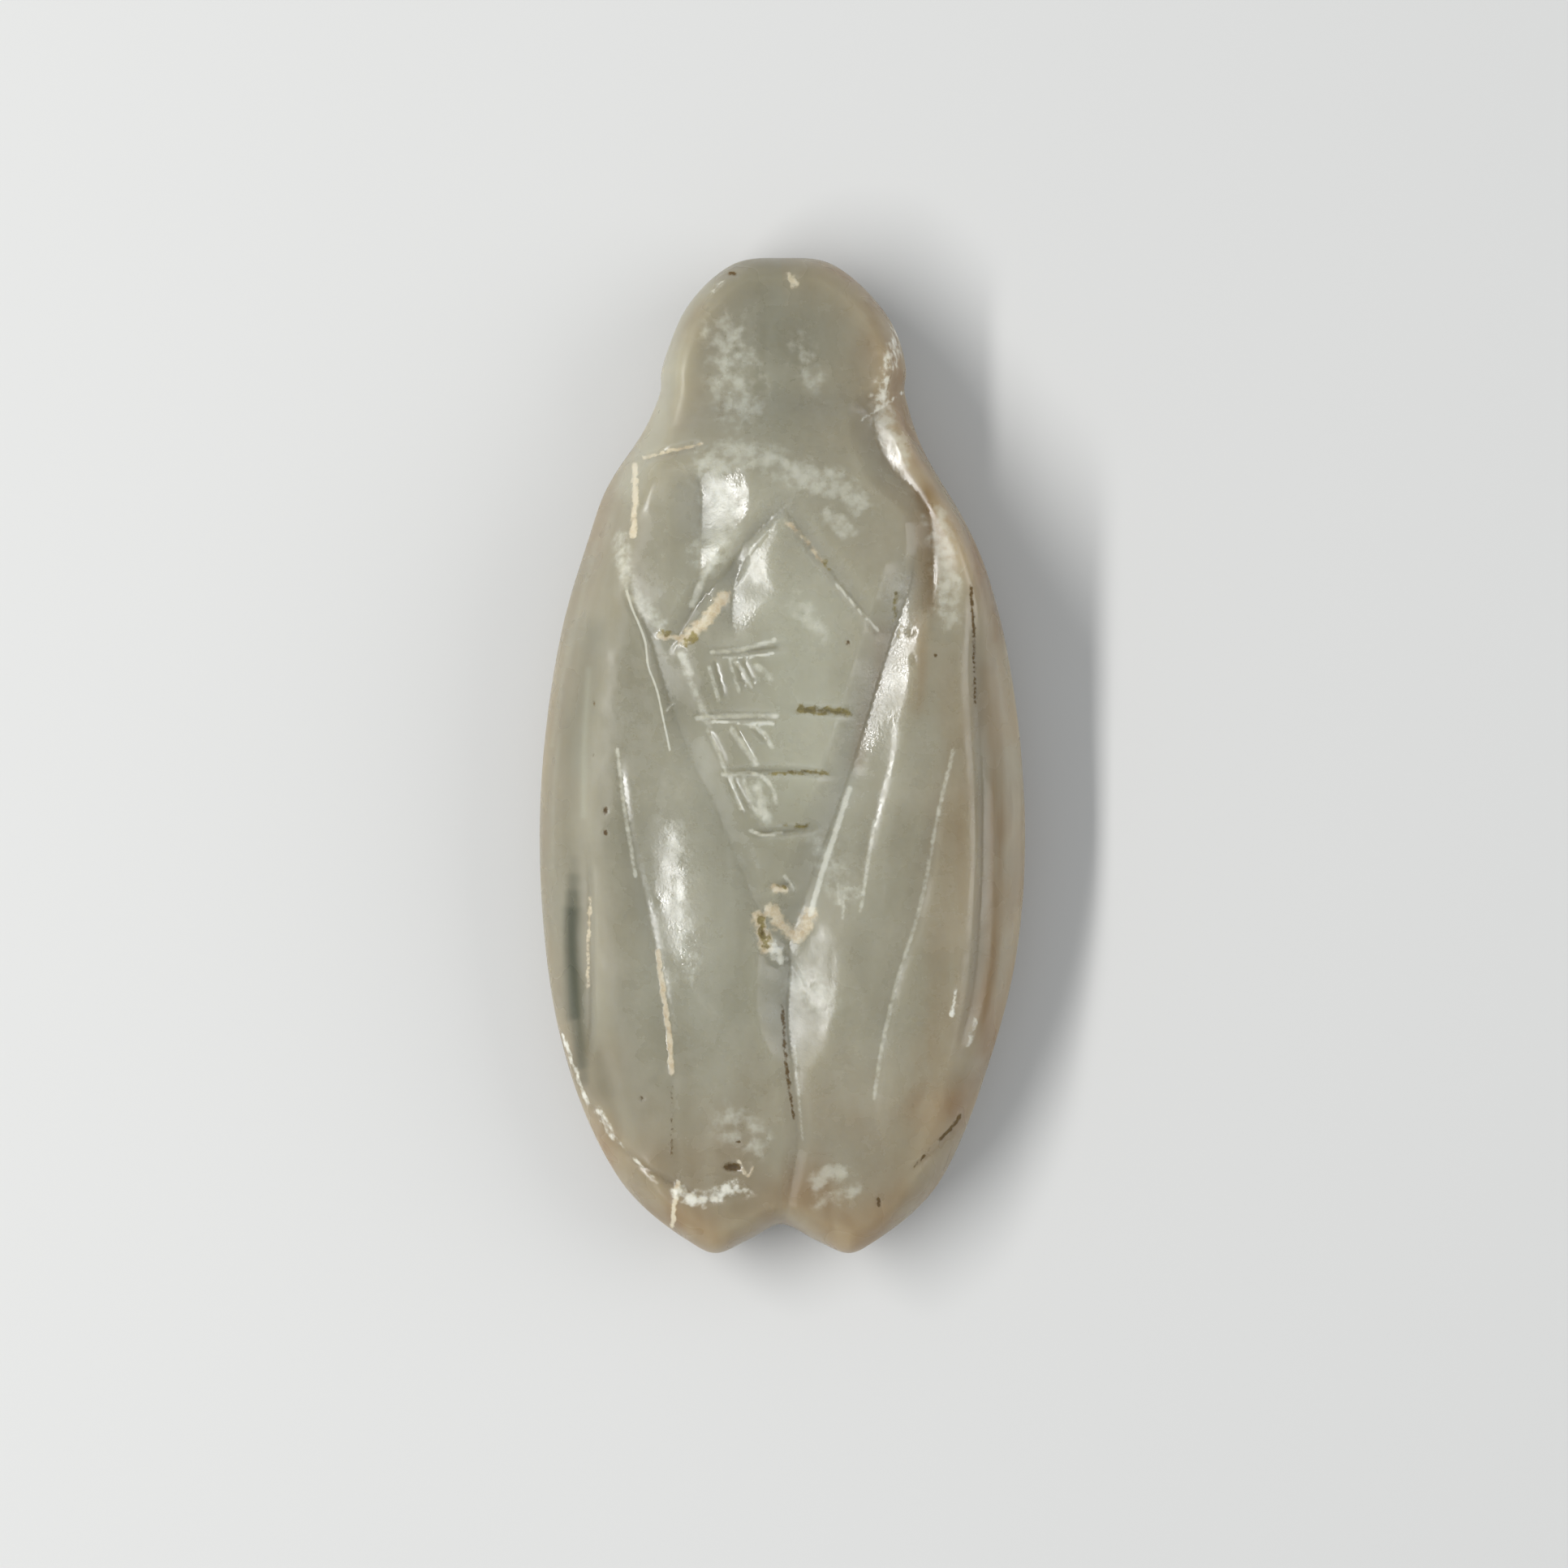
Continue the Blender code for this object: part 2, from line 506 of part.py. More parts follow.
def spread(ring, rows):
    """Ring and rows as one set, leaving out each point that crowds one before it, and their edges."""
    kept = list(ring)
    edges = [(i, (i + 1) % len(ring)) for i in range(len(ring))]
    for row, least_gap, joined in rows:
        tree = KDTree(len(kept))
        for i, p in enumerate(kept):
            tree.insert((p[0], p[1], 0), i)
        tree.balance()
        before = None
        for p in row:
            if tree.find((p[0], p[1], 0))[2] < least_gap:
                before = None
                continue
            if joined and before is not None and np.linalg.norm(p - before) < 2 * EDGE_STEP:
                edges.append((len(kept) - 1, len(kept)))
            kept.append(p)
            before = p
    return np.array(kept), edges


def add_sheet(mesh, rim, ring, rows, height, faces_up):
    """Triangles over the plan at a height, joined to the rim."""
    points, edges = spread(ring, rows)
    plan, _, faces, source, _, _ = delaunay_2d_cdt([Vector(p) for p in points], edges, [], 1, 1e-9)
    plan = np.array([tuple(v) for v in plan])
    verts = []
    for p, z, ids in zip(plan, height(plan), source):
        on_rim = bool(ids) and min(ids) < len(ring)
        verts.append(rim[min(ids)] if on_rim else mesh.verts.new((*p, z)))
    for face in faces:
        corners = [verts[i] for i in face]
        mesh.faces.new(corners if faces_up else corners[::-1])


def stone_mesh():
    """One closed mesh: the back and the underside, joined along the widest line of the edge."""
    length = np.linalg.norm(RING - np.roll(RING, 1, axis=0), axis=1).sum()
    ring = outline_ring(round(length / EDGE_STEP))
    insets = [RIM_ROUND * (1 - math.cos(math.radians(a))) for a in RIM_ROWS]
    back = [(row, EDGE_STEP * RIM_APART, True) for row in inset_rows(ring, insets)]
    for cut in (*broad_cuts(), *fine_cuts()):
        for row in cut_rows(cut, CUT_STEP):
            gap, _ = measure(RING, row, closed=True)
            back.append((row[gap > EDGE_STEP * RIM_CLEAR], CUT_STEP * CUT_APART, True))
    back.append((fill_grid(FILL_STEP), FILL_STEP * FILL_APART, False))
    insets = [BELLY_ROUND * (1 - math.cos(math.radians(a))) for a in BELLY_ROWS]
    belly = [(row, EDGE_STEP * BELLY_RIM_APART, True) for row in inset_rows(ring, insets)]
    for cut in belly_cuts():
        rows = cut_rows(cut, BELLY_STEP * BELLY_LINE_STEP)
        belly += [(row, BELLY_LINE_FLANK * BELLY_LINE_APART, True) for row in rows]
    belly.append((fill_grid(BELLY_STEP), BELLY_STEP * FILL_APART, False))

    mesh = bmesh.new()
    rim = [mesh.verts.new((*p, RIM_HEIGHT)) for p in ring]
    add_sheet(mesh, rim, ring, back, back_height, True)
    add_sheet(mesh, rim, ring, belly, belly_height, False)
    bmesh.ops.recalc_face_normals(mesh, faces=mesh.faces)
    return mesh


def stone_material():
    """Pale, cloudy, polished chalcedony."""
    material = bpy.data.materials.new("chalcedony")
    material.use_nodes = True
    shader = material.node_tree.nodes["Principled BSDF"]
    shader.inputs["Base Color"].default_value = STONE
    shader.inputs["Roughness"].default_value = STONE_ROUGHNESS
    shader.inputs["Metallic"].default_value = 0.0
    shader.inputs["Subsurface Weight"].default_value = STONE_CLOUD
    shader.inputs["Subsurface Radius"].default_value = STONE_CLOUD_REACH
    return material


def main():
    for obj in list(bpy.data.objects):
        bpy.data.objects.remove(obj)
    mesh = bpy.data.meshes.new("cicada")
    built = stone_mesh()
    built.to_mesh(mesh)
    built.free()
    mesh.materials.append(stone_material())
    mesh.shade_smooth()
    mesh.set_sharp_from_angle(angle=math.radians(SHARP_ANGLE))
    cicada = bpy.data.objects.new("cicada", mesh)
    bpy.context.scene.collection.objects.link(cicada)


main()
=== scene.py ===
import math

import bpy
import numpy as np
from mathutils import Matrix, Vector
from mathutils.geometry import delaunay_2d_cdt
from mathutils.kdtree import KDTree


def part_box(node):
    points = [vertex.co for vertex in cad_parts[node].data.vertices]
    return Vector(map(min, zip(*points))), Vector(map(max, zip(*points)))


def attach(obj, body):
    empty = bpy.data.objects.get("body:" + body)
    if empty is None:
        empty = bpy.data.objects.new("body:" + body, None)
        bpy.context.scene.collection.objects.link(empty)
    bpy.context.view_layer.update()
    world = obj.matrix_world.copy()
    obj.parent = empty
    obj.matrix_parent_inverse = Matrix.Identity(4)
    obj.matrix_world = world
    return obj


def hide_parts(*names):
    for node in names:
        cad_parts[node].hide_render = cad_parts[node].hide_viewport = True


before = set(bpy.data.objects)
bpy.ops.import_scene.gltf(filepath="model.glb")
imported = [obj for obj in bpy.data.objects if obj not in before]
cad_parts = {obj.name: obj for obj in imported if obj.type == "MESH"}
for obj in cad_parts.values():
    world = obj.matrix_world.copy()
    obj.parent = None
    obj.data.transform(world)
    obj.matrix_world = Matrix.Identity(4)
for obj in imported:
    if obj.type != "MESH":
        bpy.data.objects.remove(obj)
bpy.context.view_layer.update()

# The pebble.
# One flat oval pebble of pale, cloudy chalcedony, sawn to an insect's outline and ground round
# at the edge. Places on it are shares: of half its width to +X, and of its length to the head.
low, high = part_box("cicada")
WIDTH = high[0] - low[0]
LENGTH = high[1] - low[1]
THICKNESS = high[2]
RIM_HEIGHT = 0.0032
RIM_ROUND = 0.0014
RIM_SHOULDER = 0.0015
LEAST_HALF_WIDTH = 0.46
EASY_FALL = 0.32
EASY_POWER = 1.6
KNEE = 0.785
KNEE_ROUND = 0.018
SHOULDER_SWELL = 0.30
SHOULDER_PLACE = 0.225
SHOULDER_REACH = 0.090
END_HALF_WIDTH = 0.3
BLEND_POWER = 6
CURVE_STEPS = 24
RING_POINTS = 1400
POINTS_AT_ONCE = 4000
HALF_OUTLINE = (
    (0.000, 0.500),
    (0.201, 0.494),
    (0.410, 0.447),
    (0.503, 0.388),
    (0.502, 0.367),
    (0.532, 0.343),
    (0.572, 0.320),
    (0.744, 0.246),
    (0.911, 0.123),
    (1.000, -0.081),
    (0.915, -0.268),
    (0.647, -0.431),
    (0.370, -0.490),
    (0.274, -0.500),
    (0.140, -0.487),
    (0.000, -0.471),
)
OUTLINE_DRIFT = ((0.012, 0.420, 0.040), (-0.028, 0.280, 0.050), (-0.018, -0.330, 0.110))
CREST = (
    (0.500, 0.62),
    (0.450, 0.69),
    (0.390, 0.76),
    (0.330, 0.80),
    (0.265, 0.93),
    (0.190, 1.00),
    (0.060, 0.98),
    (-0.120, 0.91),
    (-0.300, 0.79),
    (-0.420, 0.67),
    (-0.500, 0.59),
)


def spot(pairs):
    """Metres from pairs of shares."""
    return np.asarray(pairs, float) * (WIDTH / 2, LENGTH)


def through(stations, places):
    """Smooth value at each place, through (place, value) stations, level beyond the ends."""
    at, value = np.array(sorted(stations), float).T
    step = np.diff(at)
    slope = np.diff(value) / step
    tangent = np.concatenate([slope[:1], np.zeros(len(at) - 2), slope[-1:]])
    for i in range(1, len(at) - 1):
        if slope[i - 1] * slope[i] > 0:
            tangent[i] = 2 * slope[i - 1] * slope[i] / (slope[i - 1] + slope[i])
    place = np.clip(places, at[0], at[-1])
    i = np.clip(np.searchsorted(at, place) - 1, 0, len(at) - 2)
    t = (place - at[i]) / step[i]
    start = (1 + 2 * t) * (1 - t) ** 2 * value[i] + t * (1 - t) ** 2 * step[i] * tangent[i]
    end = t * t * (3 - 2 * t) * value[i + 1] + t * t * (t - 1) * step[i] * tangent[i + 1]
    return start + end


def smooth_path(points, count, closed=False):
    """A centripetal Catmull-Rom curve through the points, as evenly spaced points."""
    points = np.asarray(points, float)
    if closed:
        ring = np.vstack([points[-1:], points, points[:2]])
    else:
        ring = np.vstack([2 * points[0] - points[1], points, 2 * points[-1] - points[-2]])
    fine = []
    for p0, p1, p2, p3 in zip(ring, ring[1:], ring[2:], ring[3:]):
        t0, t1 = 0.0, math.sqrt(np.linalg.norm(p1 - p0))
        t2 = t1 + math.sqrt(np.linalg.norm(p2 - p1))
        t3 = t2 + math.sqrt(np.linalg.norm(p3 - p2))
        t = np.linspace(t1, t2, CURVE_STEPS, endpoint=False)[:, None]
        a1 = ((t1 - t) * p0 + (t - t0) * p1) / (t1 - t0)
        a2 = ((t2 - t) * p1 + (t - t1) * p2) / (t2 - t1)
        a3 = ((t3 - t) * p2 + (t - t2) * p3) / (t3 - t2)
        b1 = ((t2 - t) * a1 + (t - t0) * a2) / (t2 - t0)
        b2 = ((t3 - t) * a2 + (t - t1) * a3) / (t3 - t1)
        fine.append(((t2 - t) * b1 + (t - t1) * b2) / (t2 - t1))
    fine = np.vstack([*fine, ring[-2:-1]])
    run = np.concatenate([[0], np.cumsum(np.linalg.norm(np.diff(fine, axis=0), axis=1))])
    wanted = np.linspace(0, run[-1], count, endpoint=not closed)
    return np.stack([np.interp(wanted, run, fine[:, k]) for k in (0, 1)], -1)


def outline_ring(count):
    """The outline of the whole stone, clockwise seen from above."""
    other_half = [(-across, along) for across, along in HALF_OUTLINE[-2:0:-1]]
    ring = smooth_path(spot([*HALF_OUTLINE, *other_half]), count, closed=True)
    for amount, middle, reach in OUTLINE_DRIFT:
        near = np.exp(-(((ring[:, 1] / LENGTH - middle) / reach) ** 2))
        ring[:, 0] += amount * WIDTH / 2 * near
    return ring


def measure(path, points, closed=False):
    """From a path to each point: the distance, positive on the right of its run, and the share run."""
    starts = path if closed else path[:-1]
    runs = (np.roll(path, -1, axis=0) if closed else path[1:]) - starts
    gap = np.full(len(points), np.inf)
    share = np.zeros(len(points))
    for part in np.array_split(np.arange(len(points)), len(points) // POINTS_AT_ONCE + 1):
        near = points[part]
        closest = ((path**2).sum(1) - 2 * near @ path.T).argmin(1)
        for before in (1, 0):
            i = closest - before
            i = i % len(starts) if closed else np.clip(i, 0, len(starts) - 1)
            offset = near - starts[i]
            t = np.clip((offset * runs[i]).sum(1) / (runs[i] ** 2).sum(1), 0, 1)
            away = np.linalg.norm(offset - t[:, None] * runs[i], axis=1)
            right = np.where(runs[i, 1] * offset[:, 0] - runs[i, 0] * offset[:, 1] < 0, -1, 1)
            closer = away < np.abs(gap[part])
            gap[part[closer]] = (away * right)[closer]
            share[part[closer]] = ((i + t) / len(starts))[closer]
    return gap, share


def waver(points, size, seed):
    """Smooth random values between -1 and 1 that change over about that size."""
    cells = np.random.default_rng(seed).uniform(-1, 1, (int(LENGTH / size) + 4, int(WIDTH / size) + 4))
    place = (points + (WIDTH / 2 + size, LENGTH / 2 + size)) / size
    i, j = np.floor(place).astype(int).T
    s, t = (place - np.floor(place)).T
    s, t = s * s * (3 - 2 * s), t * t * (3 - 2 * t)
    near = cells[j, i] * (1 - s) + cells[j, i + 1] * s
    far = cells[j + 1, i] * (1 - s) + cells[j + 1, i + 1] * s
    return near * (1 - t) + far * t


RING = outline_ring(RING_POINTS)


def uncut_back(points):
    """Height of the rounded pebble over its shoulder, before any cut."""
    across, along = (points / (WIDTH / 2, LENGTH)).T
    sides = [(b, a) for a, b in HALF_OUTLINE[2:-3]]
    half = through([(0.5, END_HALF_WIDTH), *sides, (-0.5, END_HALF_WIDTH)], along)
    half = (half**BLEND_POWER + LEAST_HALF_WIDTH**BLEND_POWER) ** (1 / BLEND_POWER)
    swell = SHOULDER_SWELL * np.exp(-(((along - SHOULDER_PLACE) / SHOULDER_REACH) ** 2))
    out = np.abs(across) / np.where(across > 0, half * (1 + swell), half)
    rise = through(CREST, along) * THICKNESS - RIM_HEIGHT - RIM_SHOULDER
    bevel = np.logaddexp(0, (out - KNEE) / KNEE_ROUND) / np.logaddexp(0, (1 - KNEE) / KNEE_ROUND)
    fall = EASY_FALL * out**EASY_POWER + (1 - EASY_FALL) * bevel
    return rise * np.clip(1 - fall, 0, 1)


# The cuts.
# Everything on the back was ground with a wheel and grit, as slanting cuts with two flat flanks
# that meet in a line.

# Each cut: its bottom line, the reach of each flank, its depth, and the share of that on its run
LIP = 0.10
RUN_STEP = 0.00015
FEWEST_STEPS = 8
shaping_cuts = []
line_cuts = []


def level(value, places):
    """A plain number as it is, stations read at the places."""
    return through(value, places) if isinstance(value, tuple) else np.full(len(places), float(value))


def run_of(pairs):
    """A cut's bottom line, in metres."""
    rough = spot(pairs)
    length = np.linalg.norm(np.diff(rough, axis=0), axis=1).sum()
    return smooth_path(rough, max(FEWEST_STEPS, round(length / RUN_STEP)))


def carve(points, cut):
    """Depth of one cut at each point."""
    path, left_flank, right_flank, depth, strength = cut
    depths = np.zeros(len(points))
    widest = max(np.atleast_2d(flank)[:, -1].max() for flank in (left_flank, right_flank)) * (1 + LIP)
    corner, far_corner = path.min(0) - widest, path.max(0) + widest
    close = np.flatnonzero(((points > corner) & (points < far_corner)).all(1))
    gap, share = measure(path, points[close])
    flank = np.where(gap > 0, level(right_flank, share), level(left_flank, share))
    inward = 1 - np.abs(gap) / flank
    lip = np.clip(inward + LIP, 0, 2 * LIP) ** 2 / (4 * LIP)
    inward = np.where(inward > LIP, inward, lip)
    depths[close] = depth * level(strength, share) * inward
    return depths


# The wings.
# Two folded wings, parted from the body by a deep trough each, with veins as slanting cuts that
# are steep towards the body. The wheel left the right wing's root a raised edge.
TROUGH_DEPTH = 0.00086
TROUGHS = (
    (
        (0.470, 0.290), (0.535, 0.225), (0.525, 0.175), (0.455, 0.123), (0.371, 0.058), (0.288, -0.007),
        (0.194, -0.073), (0.094, -0.138), (0.020, -0.195),
    ),
    (
        (-0.600, 0.280), (-0.615, 0.220), (-0.609, 0.156), (-0.549, 0.123), (-0.488, 0.074),
        (-0.381, 0.001), (-0.281, -0.048), (-0.197, -0.097), (-0.114, -0.146), (0.010, -0.195),
    ),
)
TROUGH_BODY_FLANKS = (
    0.0016,
    ((0.0, 0.0012), (0.24, 0.0021), (0.45, 0.0021), (0.75, 0.0013), (1.0, 0.0007)),
)
TROUGH_WING_FLANKS = (
    (
        (0.0, 0.0010), (0.30, 0.00145), (0.38, 0.00145), (0.45, 0.0018), (0.60, 0.0022), (0.85, 0.0029),
        (1.0, 0.0020),
    ),
    ((0.0, 0.0005), (0.40, 0.0006), (0.60, 0.0012), (0.8, 0.0021), (1.0, 0.0030)),
)
TROUGH_STRENGTHS = (
    ((0.0, 0.0), (0.15, 0.1), (0.25, 0.85), (0.40, 1.0), (0.60, 1.0), (0.78, 0.7), (0.95, 0.5), (1.0, 0.1)),
    (
        (0.0, 0.0), (0.16, 0.0), (0.24, 0.25), (0.36, 0.34), (0.47, 0.28), (0.56, 0.22), (0.92, 0.22),
        (1.0, 0.1),
    ),
)
HOLLOW_DEPTH = 0.00090
HOLLOW_BODY_FLANK = 0.00140
HOLLOW_WING_FLANK = 0.00150
HOLLOWS = (
    (
        (0.371, 0.339), (0.382, 0.317), (0.440, 0.286), (0.548, 0.261), (0.599, 0.237), (0.609, 0.205),
        (0.612, 0.156), (0.592, 0.107),
    ),
    ((-0.560, 0.300), (-0.612, 0.270), (-0.640, 0.215), (-0.680, 0.150)),
)
HOLLOW_STRENGTHS = (
    ((0.0, 0.5), (0.12, 0.8), (0.28, 0.85), (0.5, 0.55), (0.78, 0.42), (1.0, 0.0)),
    ((0.0, 0.0), (0.4, 0.06), (1.0, 0.0)),
)
STEEP_FLANK = 0.00040
VEIN_DEPTH = 0.00014
VEINS = (
    (
        (0.689, 0.013), (0.629, -0.064), (0.569, -0.148), (0.465, -0.225), (0.401, -0.293),
        (0.375, -0.342), (0.383, -0.400),
    ),
    (
        (-0.672, 0.006), (-0.622, -0.080), (-0.538, -0.169), (-0.475, -0.252), (-0.452, -0.317),
        (-0.435, -0.423), (-0.455, -0.477),
    ),
)
VEIN_FLANK = ((0.0, 0.0003), (0.4, 0.0011), (1.0, 0.0012))
VEIN_STRENGTHS = (
    ((0.0, 0.0), (0.25, 0.9), (0.6, 1.0), (0.8, 0.6), (1.0, 0.0)),
    ((0.0, 0.0), (0.08, 0.75), (0.45, 0.80), (0.65, 0.35), (1.0, 0.2)),
)
OUTER_VEIN_DEPTH = 0.00022
OUTER_VEIN_FLANK = 0.00070
OUTER_VEINS = (
    (
        (0.749, 0.197), (0.776, 0.138), (0.796, 0.058), (0.816, -0.056), (0.809, -0.146),
        (0.779, -0.236), (0.700, -0.315),
    ),
    (
        (-0.756, 0.139), (-0.793, 0.066), (-0.813, -0.015), (-0.803, -0.081), (-0.789, -0.162),
        (-0.786, -0.260), (-0.800, -0.316),
    ),
)
OUTER_VEIN_STRENGTHS = (
    ((0.0, 0.0), (0.2, 0.7), (0.5, 1.0), (0.85, 1.0), (1.0, 0.0)),
    ((0.0, 0.0), (0.45, 0.1), (0.62, 1.0), (0.9, 1.0), (1.0, 0.0)),
)
for side, order in ((0, -1), (1, 1)):
    flanks = (TROUGH_BODY_FLANKS[side], TROUGH_WING_FLANKS[side])[::order]
    shaping_cuts.append((run_of(TROUGHS[side]), *flanks, TROUGH_DEPTH, TROUGH_STRENGTHS[side]))
    flanks = (HOLLOW_BODY_FLANK, HOLLOW_WING_FLANK)[::order]
    shaping_cuts.append((run_of(HOLLOWS[side]), *flanks, HOLLOW_DEPTH, HOLLOW_STRENGTHS[side]))
    shaping_cuts.append((run_of(VEINS[side]), STEEP_FLANK, VEIN_FLANK, VEIN_DEPTH, VEIN_STRENGTHS[side]))
    flanks = (STEEP_FLANK, OUTER_VEIN_FLANK)[::order]
    strength = OUTER_VEIN_STRENGTHS[side]
    shaping_cuts.append((run_of(OUTER_VEINS[side]), *flanks, OUTER_VEIN_DEPTH, strength))

LEDGE = (
    (0.450, 0.040), (0.435, -0.007), (0.398, -0.040), (0.365, -0.073), (0.331, -0.105), (0.306, -0.145),
)
LEDGE_FLANK = 0.00045
LEDGE_FALL = ((0.0, 0.0006), (0.4, 0.0013), (1.0, 0.0018))
LEDGE_DEPTH = 0.00009
BOTH_ENDS_OUT = ((0.0, 0.0), (0.3, 1.0), (0.7, 1.0), (1.0, 0.0))
shaping_cuts.append((run_of(LEDGE), LEDGE_FLANK, LEDGE_FALL, LEDGE_DEPTH, BOTH_ENDS_OUT))

RIDGE = (
    (-0.632, 0.162), (-0.612, 0.146), (-0.582, 0.129), (-0.559, 0.113), (-0.545, 0.088), (-0.512, 0.066),
    (-0.488, 0.040), (-0.458, 0.005),
)
RIDGE_RISE = 0.000025
RIDGE_FLANK = 0.00009
RIDGE_STRENGTH = ((0.0, 0.6), (0.1, 1.0), (0.8, 0.9), (1.0, 0.3))
shaping_cuts.append((run_of(RIDGE), RIDGE_FLANK, RIDGE_FLANK, -RIDGE_RISE, RIDGE_STRENGTH))

BEVELS = (
    ((0.873, 0.066), (0.940, -0.015), (0.963, -0.097), (0.950, -0.179), (0.896, -0.260), (0.806, -0.330)),
    ((-0.833, 0.164), (-0.890, 0.107), (-0.933, 0.042), (-0.957, -0.024), (-0.963, -0.089)),
)
BEVEL_DEPTH = 0.00007
BEVEL_FLANK = 0.00030
for path in BEVELS:
    line_cuts.append((run_of(path), BEVEL_FLANK, BEVEL_FLANK, BEVEL_DEPTH, BOTH_ENDS_OUT))

FLANGE = (
    (0.455, 0.347), (0.505, 0.319), (0.582, 0.286), (0.649, 0.254), (0.716, 0.221), (0.763, 0.188),
    (0.789, 0.150),
)
FLANGE_RISE = 0.00055
FLANGE_INNER_FLANK = 0.00130
FLANGE_OUTER_FLANK = 0.00070
FLANGE_STRENGTH = ((0.0, 0.0), (0.2, 0.40), (0.5, 0.40), (0.8, 0.3), (1.0, 0.0))
shaping_cuts.append((run_of(FLANGE), FLANGE_OUTER_FLANK, FLANGE_INNER_FLANK, -FLANGE_RISE, FLANGE_STRENGTH))

SEAM = (
    (0.022, -0.165), (0.030, -0.219), (0.018, -0.256), (0.040, -0.317), (0.060, -0.383),
    (0.030, -0.431), (0.0, -0.474),
)
SEAM_DEPTH = 0.00100
SEAM_LEFT_FLANK = ((0.0, 0.0020), (0.27, 0.0017), (0.5, 0.0009), (1.0, 0.0007))
SEAM_RIGHT_FLANK = (
    (0.0, 0.0018), (0.10, 0.0028), (0.25, 0.0028), (0.40, 0.0021), (0.5, 0.0009), (1.0, 0.0005),
)
SEAM_STRENGTH = (
    (0.0, 0.3), (0.07, 0.6), (0.15, 1.0), (0.27, 1.08), (0.38, 0.80), (0.46, 0.30), (0.7, 0.15),
    (1.0, 0.15),
)
shaping_cuts.append((run_of(SEAM), SEAM_RIGHT_FLANK, SEAM_LEFT_FLANK, SEAM_DEPTH, SEAM_STRENGTH))

LINE_DEPTH = 0.00024
LINE_FLANK = 0.00032
LINE_STRENGTH = ((0.0, 0.2), (0.2, 1.0), (0.8, 1.0), (1.0, 0.2))
MARGIN_DEPTH = 0.00014
MARGINS = (
    ((0.860, -0.300), (0.739, -0.362), (0.622, -0.395), (0.522, -0.417)),
    (
        (-0.880, -0.290), (-0.779, -0.354), (-0.599, -0.406), (-0.431, -0.430), (-0.308, -0.443),
        (-0.150, -0.434),
    ),
)
for path in MARGINS:
    line_cuts.append((run_of(path), LINE_FLANK, LINE_FLANK, MARGIN_DEPTH, LINE_STRENGTH))

LOBE = ((-0.535, -0.045), (-0.535, -0.122), (-0.512, -0.170), (-0.438, -0.225))
LOBE_DEPTH = 0.00046
LOBE_REACH = 0.00155


def lobe_fall(points):
    """The soft fall beside the left wing's inner lobe."""
    gap, share = measure(run_of(LOBE), points)
    return LOBE_DEPTH * np.clip(4 * share * (1 - share), 0, 1) * np.exp(-((gap / LOBE_REACH) ** 2))


# The head.
# A blunt head with two long eyes at its sides, set off from the thorax by a shallow neck.
NECK = ((-0.520, 0.330), (-0.200, 0.345), (0.200, 0.348), (0.480, 0.345))
NECK_DEPTH = 0.00050
NECK_SPREAD = 0.00130
EYES = ((-0.425, 0.402), (0.445, 0.402))
EYE_REACH = (0.085, 0.052)
EYE_RISE = 0.00045


def head_shape(points):
    """Depth of the neck, less the rise of the eyes."""
    across, along = (points / (WIDTH / 2, LENGTH)).T
    gap, _ = measure(run_of(NECK), points)
    depth = NECK_DEPTH * np.exp(-((gap / NECK_SPREAD) ** 2))
    for eye in EYES:
        away = ((across - eye[0]) / EYE_REACH[0]) ** 2 + ((along - eye[1]) / EYE_REACH[1]) ** 2
        depth -= EYE_RISE * np.exp(-away)
    return depth


# The thorax.
# A smooth shield with a wide V across it. The left arm of the V is a broad slanting cut, the
# right one a thin line, and a second slanting cut runs down the shield's left side.
CHEST = ((-0.355, 0.289), (-0.334, 0.260), (-0.334, 0.205), (-0.345, 0.180), (-0.381, 0.150))
CHEST_DEPTH = 0.00080
CHEST_OUTER_FLANK = 0.00180
CHEST_INNER_FLANK = (
    (0.0, 0.0022), (0.17, 0.0027), (0.36, 0.0027), (0.55, 0.0018), (0.75, 0.0010), (1.0, 0.0006),
)
CHEST_STRENGTH = ((0.0, 0.0), (0.15, 0.8), (0.30, 1.0), (0.45, 0.95), (0.60, 0.50), (0.75, 0.3), (1.0, 0.0))
shaping_cuts.append((run_of(CHEST), CHEST_INNER_FLANK, CHEST_OUTER_FLANK, CHEST_DEPTH, CHEST_STRENGTH))

CHEVRON = (
    ((0.005, 0.246), (0.120, 0.205), (0.187, 0.184), (0.395, 0.122)),
    ((0.003, 0.246), (-0.107, 0.221), (-0.167, 0.205), (-0.207, 0.188), (-0.281, 0.168), (-0.355, 0.148),
     (-0.425, 0.115)),
)
CHEVRON_DEPTH = 0.00048
CHEVRON_UPPER_FLANK = 0.00095
CHEVRON_LOWER_FLANKS = (
    0.00045,
    ((0.0, 0.0003), (0.3, 0.0005), (0.5, 0.0009), (0.75, 0.0009), (1.0, 0.0004)),
)
CHEVRON_STRENGTHS = (
    ((0.0, 0.3), (0.3, 0.5), (1.0, 0.25)),
    ((0.0, 0.4), (0.25, 1.0), (0.7, 0.9), (1.0, 0.4)),
)
for side, order in ((0, 1), (1, -1)):
    flanks = (CHEVRON_UPPER_FLANK, CHEVRON_LOWER_FLANKS[side])[::order]
    line_cuts.append((run_of(CHEVRON[side]), *flanks, CHEVRON_DEPTH, CHEVRON_STRENGTHS[side]))

